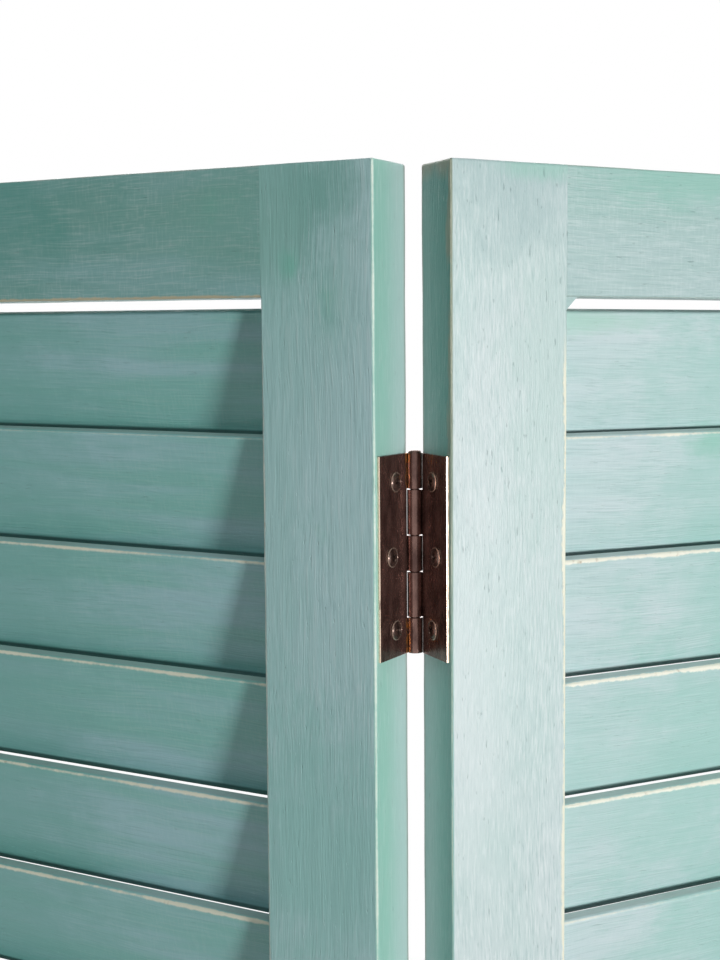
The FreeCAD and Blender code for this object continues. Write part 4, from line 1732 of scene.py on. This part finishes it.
@dataclass
class Studio:
    """Pale floor, white surroundings, lamps and the camera."""

    floor_radius: float = 6.0
    floor_sides: int = 96
    floor_drop: float = 0.5 * MM
    floor_colour: Colour = tint("dededd")
    floor_fade: tuple[float, float] = (1.1, 2.3)
    floor_glow: float = 0.5
    ambient: float = 0.06
    ambient_colour: Colour = (0.88, 1.0, 1.1, 1.0)
    lamps: tuple[Lamp, ...] = (
        Lamp("key_lamp", TOP_HINGE, 39, -3, 2.2, 0.3, 0.70),
        Lamp("side_lamp", TOP_HINGE, 62, -4, 2.4, 1.4, 0.05),
        Lamp("fill_lamp", TOP_HINGE, -40, -24, 1.8, 1.2, 0.06),
        Lamp("top_lamp", TOP_HINGE, 0, 70, 2.2, 1.0, 0.25),
        Lamp("back_lamp", SCREEN_MIDDLE, 195, 25, 3.2, 2.0, 0.45),
    )
    eye: tuple[float, float, float] = (-0.17178, -0.53881, 1.64679)
    heading: float = math.radians(-0.1396)
    pitch: float = math.radians(4.659)
    roll: float = math.radians(-0.1149)
    lens: float = 55.03
    shift: tuple[float, float] = (-0.1043, -0.02317)
    nearest: float = 10 * MM

    def build_floor(self) -> None:
        """Lay a pale round floor that fades into the white surroundings and keeps the screen's shadow."""
        floor = started(
            "floor", bpy.ops.mesh.primitive_circle_add, vertices=self.floor_sides, radius=self.floor_radius,
            fill_type="NGON", location=(0, 0, -self.floor_drop)
        )
        recipe = SurfaceRecipe("pale_floor")
        fade = recipe.step(recipe.length(recipe.at), *self.floor_fade)
        share = recipe.number("MULTIPLY", recipe.span(fade, self.floor_glow, 1.0), recipe.seen())
        plain = recipe.add("BsdfDiffuse", {"Color": self.floor_colour})[0]
        white = recipe.add("Emission", {"Color": WHITE, "Strength": 1.0})[0]
        blend = recipe.add("MixShader", {0: share, 1: plain, 2: white})[0]
        recipe.add("OutputMaterial", {"Surface": blend})
        floor.data.materials.append(recipe.material)

    def build_world(self) -> None:
        """Surround the screen with white that also gives a little light."""
        world = bpy.data.worlds.new("white_surroundings")
        recipe = Recipe(world)
        light = recipe.add("Background", {"Color": self.ambient_colour, "Strength": self.ambient})[0]
        white = recipe.add("Background", {"Color": WHITE, "Strength": 1.0})[0]
        blend = recipe.add("MixShader", {0: recipe.seen(), 1: light, 2: white})[0]
        recipe.add("OutputWorld", {"Surface": blend})
        bpy.context.scene.world = world

    def build_camera(self) -> None:
        """Stand the camera close in front of the top hinge of the left joint."""
        data = bpy.data.cameras.new("camera")
        data.lens = self.lens
        data.shift_x, data.shift_y = self.shift
        data.clip_start = self.nearest
        camera = bpy.data.objects.new("camera", data)
        turn = Matrix.Rotation(self.heading, 4, "Z") @ Matrix.Rotation(QUARTER_TURN - self.pitch, 4, "X")
        camera.matrix_world = Matrix.Translation(self.eye) @ turn @ Matrix.Rotation(self.roll, 4, "Z")
        bpy.context.scene.collection.objects.link(camera)
        bpy.context.scene.camera = camera

    def build(self) -> None:
        """Set up the whole studio."""
        self.build_floor()
        self.build_world()
        for lamp in self.lamps:
            lamp.hang()
        self.build_camera()
        bpy.context.scene.view_settings.view_transform = "Standard"
        log.info("studio: floor, surroundings, lamps and camera")


# The three panels


LEFT_SLATS = (
    SlatState(0.0), SlatState(0.5), SlatState(1.0, 0.15 * MM), SlatState(1.15), SlatState(1.2, 0.4 * MM)
)
CENTRE_SLATS = (
    SlatState(0.0), SlatState(1.1), SlatState(1.5), SlatState(1.9, 0.3 * MM), SlatState(1.5, 0.6 * MM)
)
CENTRE_BEADS = {"top_rail": {0: 4.2 * MM}}


def left_scheme() -> PaintScheme:
    """Paints of the left panel: greener, and darker in part as painted shade, with a rubbed corner by the
    top hinge.

    Returns:
        The paints, with the marks that the brush and hands left, and painted shade away from the joint.
    """
    corner = (
        RubAndShadeMark(0.370, 1.694, 0.034, 0.031, tint("76ada3"), 0.9),
        RubAndShadeMark(0.361, 1.678, 0.017, 0.022, tint("76ac9f"), 0.9),
        RubAndShadeMark(0.3700, 1.669, 0.0045, 0.006, BRIGHT_TEAL, 0.7),
        RubAndShadeMark(0.364, 1.580, 0.014, 0.250, tint("9ecdc8"), 0.5),
        RubAndShadeMark(0.380, 1.485, 0.060, 0.065, tint("95cac3"), 0.8),
    )
    ends = (
        RubAndShadeMark(0.345, 1.685, 0.030, 0.022, DEEP_GREEN, 0.4),
        # partly greener paint, partly painted shade: the rail darker towards its far end, where the light
        # falls off
        RubAndShadeMark(0.235, 1.690, 0.075, 0.034, tint("4f978c"), 0.8),
    )
    # partly greener paint, partly painted shade: the slats darker away from the joint
    far = (RubAndShadeMark(0.240, 1.450, 0.060, 0.550, tint("78b6af"), 0.7),)
    return PaintScheme(
        BrushedPaint(
            "left_stile_paint", tint("b6d9da"), ground_share=0.05, stroke_share=0.2, pale_share=0.16,
            shade_share=0.26, hair_length=16 * MM, edge_wear=0.4 * MM, inner_wear=0.6 * MM,
            bare=tint("e6efe2"), outer_front=tint("9bcebe"), outer_back=tint("b5d3ce"), outer_top_shade=0.1,
            marks=corner
        ),
        BrushedPaint(
            "left_rail_paint", tint("8bb9b8"), tint("76a9a0"), patch=(45, 8), pale_share=0.12,
            hair_length=14 * MM, cross_share=0.08, edge_wear=0.2 * MM, inner_wear=0.8 * MM, bare=TAN,
            marks=ends
        ),
        BrushedPaint(
            "left_slat_paint", tint("a7d0d6"), tint("86c4bb"), patch=(90, 8), pale_share=0.08,
            hair_length=24 * MM, cross_share=0.05, pore_share=0.06, edge_wear=0.6 * MM, marks=far
        ),
    )


def centre_scheme() -> PaintScheme:
    """Paints of the centre panel: paler in part as painted sheen, and greener away from its outer edge.

    Returns:
        The paints, with the marks that the brush and hands left, and painted shade at the stile's top and
        away from the joint.
    """
    wash_and_top_shade = (
        RubAndShadeMark(0.033, 1.64, 0.021, 0.09, tint("b6d0cb"), 0.65),
        RubAndShadeMark(0.006, 1.53, 0.020, 0.08, tint("dfe9e9"), 0.5),
        # painted shade: the stile's top greyer and darker
        RubAndShadeMark(0.030, 1.704, 0.045, 0.040, tint("abc3c3"), 0.9),
        RubAndShadeMark(0.034, 1.699, 0.022, 0.006, tint("93c8b8"), 0.6),
    )
    top = (RubAndShadeMark(0.095, 1.699, 0.060, 0.014, tint("8ec2b4"), 0.8),)
    far = (
        # partly greener paint, partly painted shade: the first two marks darken the slats away from the
        # joint and lower down
        RubAndShadeMark(0.122, 1.450, 0.060, 0.550, tint("9ecdc4"), 0.7),
        RubAndShadeMark(0.080, 1.500, 0.090, 0.050, tint("a4d3c9"), 0.5),
        RubAndShadeMark(0.101, 1.612, 0.014, 0.006, tint("8fcab8"), 0.7),
        RubAndShadeMark(0.050, 1.652, 0.030, 0.006, tint("aed6c8"), 0.8),
    )
    return PaintScheme(
        BrushedPaint(
            "centre_stile_paint", tint("ccdada"), tint("bed5d2"), ground_share=0.4, stroke_share=0.3,
            pale_share=0.36, shade_share=0.26, smudge_share=0.08, hair_length=7 * MM, edge_wear=0.25 * MM,
            inner_wear=1.1 * MM, relief=0.22 * MM, outer_front=tint("8bc8bf"), outer_back=tint("aed1cd"),
            outer_top_shade=0.75, outer_stain=0.5, marks=wash_and_top_shade
        ),
        BrushedPaint(
            "centre_rail_paint", tint("b0c8c7"), tint("a2c2bd"), patch=(45, 8), pale_share=0.16,
            smudge_share=0.1, cross_share=0.09, edge_wear=0.15 * MM, inner_wear=0.12 * MM, bare=TAN,
            relief=0.2 * MM, marks=top
        ),
        BrushedPaint(
            "centre_slat_paint", tint("cbdcde"), tint("bed7d6"), ground_share=0.3, patch=(90, 8),
            pale_share=0.12, smudge_share=0.1, hair_length=20 * MM, cross_share=0.05, pore_share=0.06,
            edge_wear=0.6 * MM, bare=tint("fffae8"), marks=far
        ),
    )


def right_scheme() -> PaintScheme:
    """Paints of the right panel: between those of the other two.

    Returns:
        The paints, which have no marks of their own.
    """
    return PaintScheme(
        BrushedPaint("right_stile_paint", ground_share=0.3),
        BrushedPaint(
            "right_rail_paint", tint("9cc2be"), tint("8dbbb2"), patch=(45, 8), edge_wear=0.2 * MM,
            inner_wear=0.5 * MM, bare=TAN
        ),
        BrushedPaint(
            "right_slat_paint", tint("acccce"), tint("9bc8c0"), patch=(90, 8), hair_length=22 * MM,
            edge_wear=0.6 * MM
        ),
    )


def build_hinges(hinges: HingeMaker, left: Panel, centre: Panel, right: Panel) -> None:
    """Model each piece of a hinge once, and build the hinges of both joints from copies.

    Args:
        hinges: Maker of the hinges.
        left: Panel to the left of the centre one.
        centre: Panel that both others are hinged to.
        right: Panel to the right of the centre one.
    """
    masters = {
        "wing_leaf": hinges.leaf("wing_leaf", hinges.wing_spans(), True),
        "centre_leaf": hinges.leaf("centre_leaf", hinges.centre_spans(), False),
        "pin": hinges.pin(),
        "screw": hinges.screw(),
    }
    screw = BronzedSteel("bronzed_screw", tint("78645b"), tint("3b2d2a"), tint("dccab8"), roughness=0.22)
    finishes = {"steel": BronzedSteel("bronzed_steel").material(), "screw": screw.material()}
    later = hinges.build("left", left, Side.RIGHT, centre, finishes, masters, hinges.first_turn)
    hinges.build("right", right, Side.LEFT, centre, finishes, masters, later)
    for master in masters.values():
        scrap(master)


def main() -> None:
    """Build the panels, the hinges and the studio in order."""
    logging.basicConfig(level=logging.INFO, format="%(message)s")
    timber = Timber()
    hinges = HingeMaker()
    pins = {joint["name"]: Vector(joint["pos_m"]) for joint in frame["joints"]}
    left_axis = hinges.axis_on(timber, Side.RIGHT, Barrel.BACK)
    middle = Vector((timber.width / 2, timber.thickness / 2, 0))
    right_axis = hinges.axis_on(timber, Side.LEFT, Barrel.FRONT)
    left = Panel(
        "left_panel", -HALF_FOLD, left_axis, pins["left_fold"], timber, left_scheme(),
        {Side.RIGHT: Barrel.BACK}, LEFT_SLATS
    )
    centre = Panel(
        "centre_panel", HALF_FOLD, middle, ORIGIN, timber, centre_scheme(),
        {Side.LEFT: Barrel.BACK, Side.RIGHT: Barrel.FRONT}, CENTRE_SLATS, CENTRE_BEADS
    )
    right = Panel(
        "right_panel", -HALF_FOLD, right_axis, pins["right_fold"], timber, right_scheme(),
        {Side.LEFT: Barrel.FRONT}
    )
    stiles = {side: timber.stile(side) for side in Side}
    rail, slat = timber.rail(), timber.slat()
    chance = random.Random(SEED)
    beech = BareBeech("bare_beech")
    for panel in (left, centre, right):
        panel.build_stiles(stiles, hinges.pilots)
        panel.build_rails(rail, chance)
        panel.build_banks(slat, chance)
        panel.finish_dowels(beech)
    for master in (*stiles.values(), rail, slat):
        scrap(master)
    build_hinges(hinges, left, centre, right)
    Studio().build()


if __name__ == "__main__":
    main()
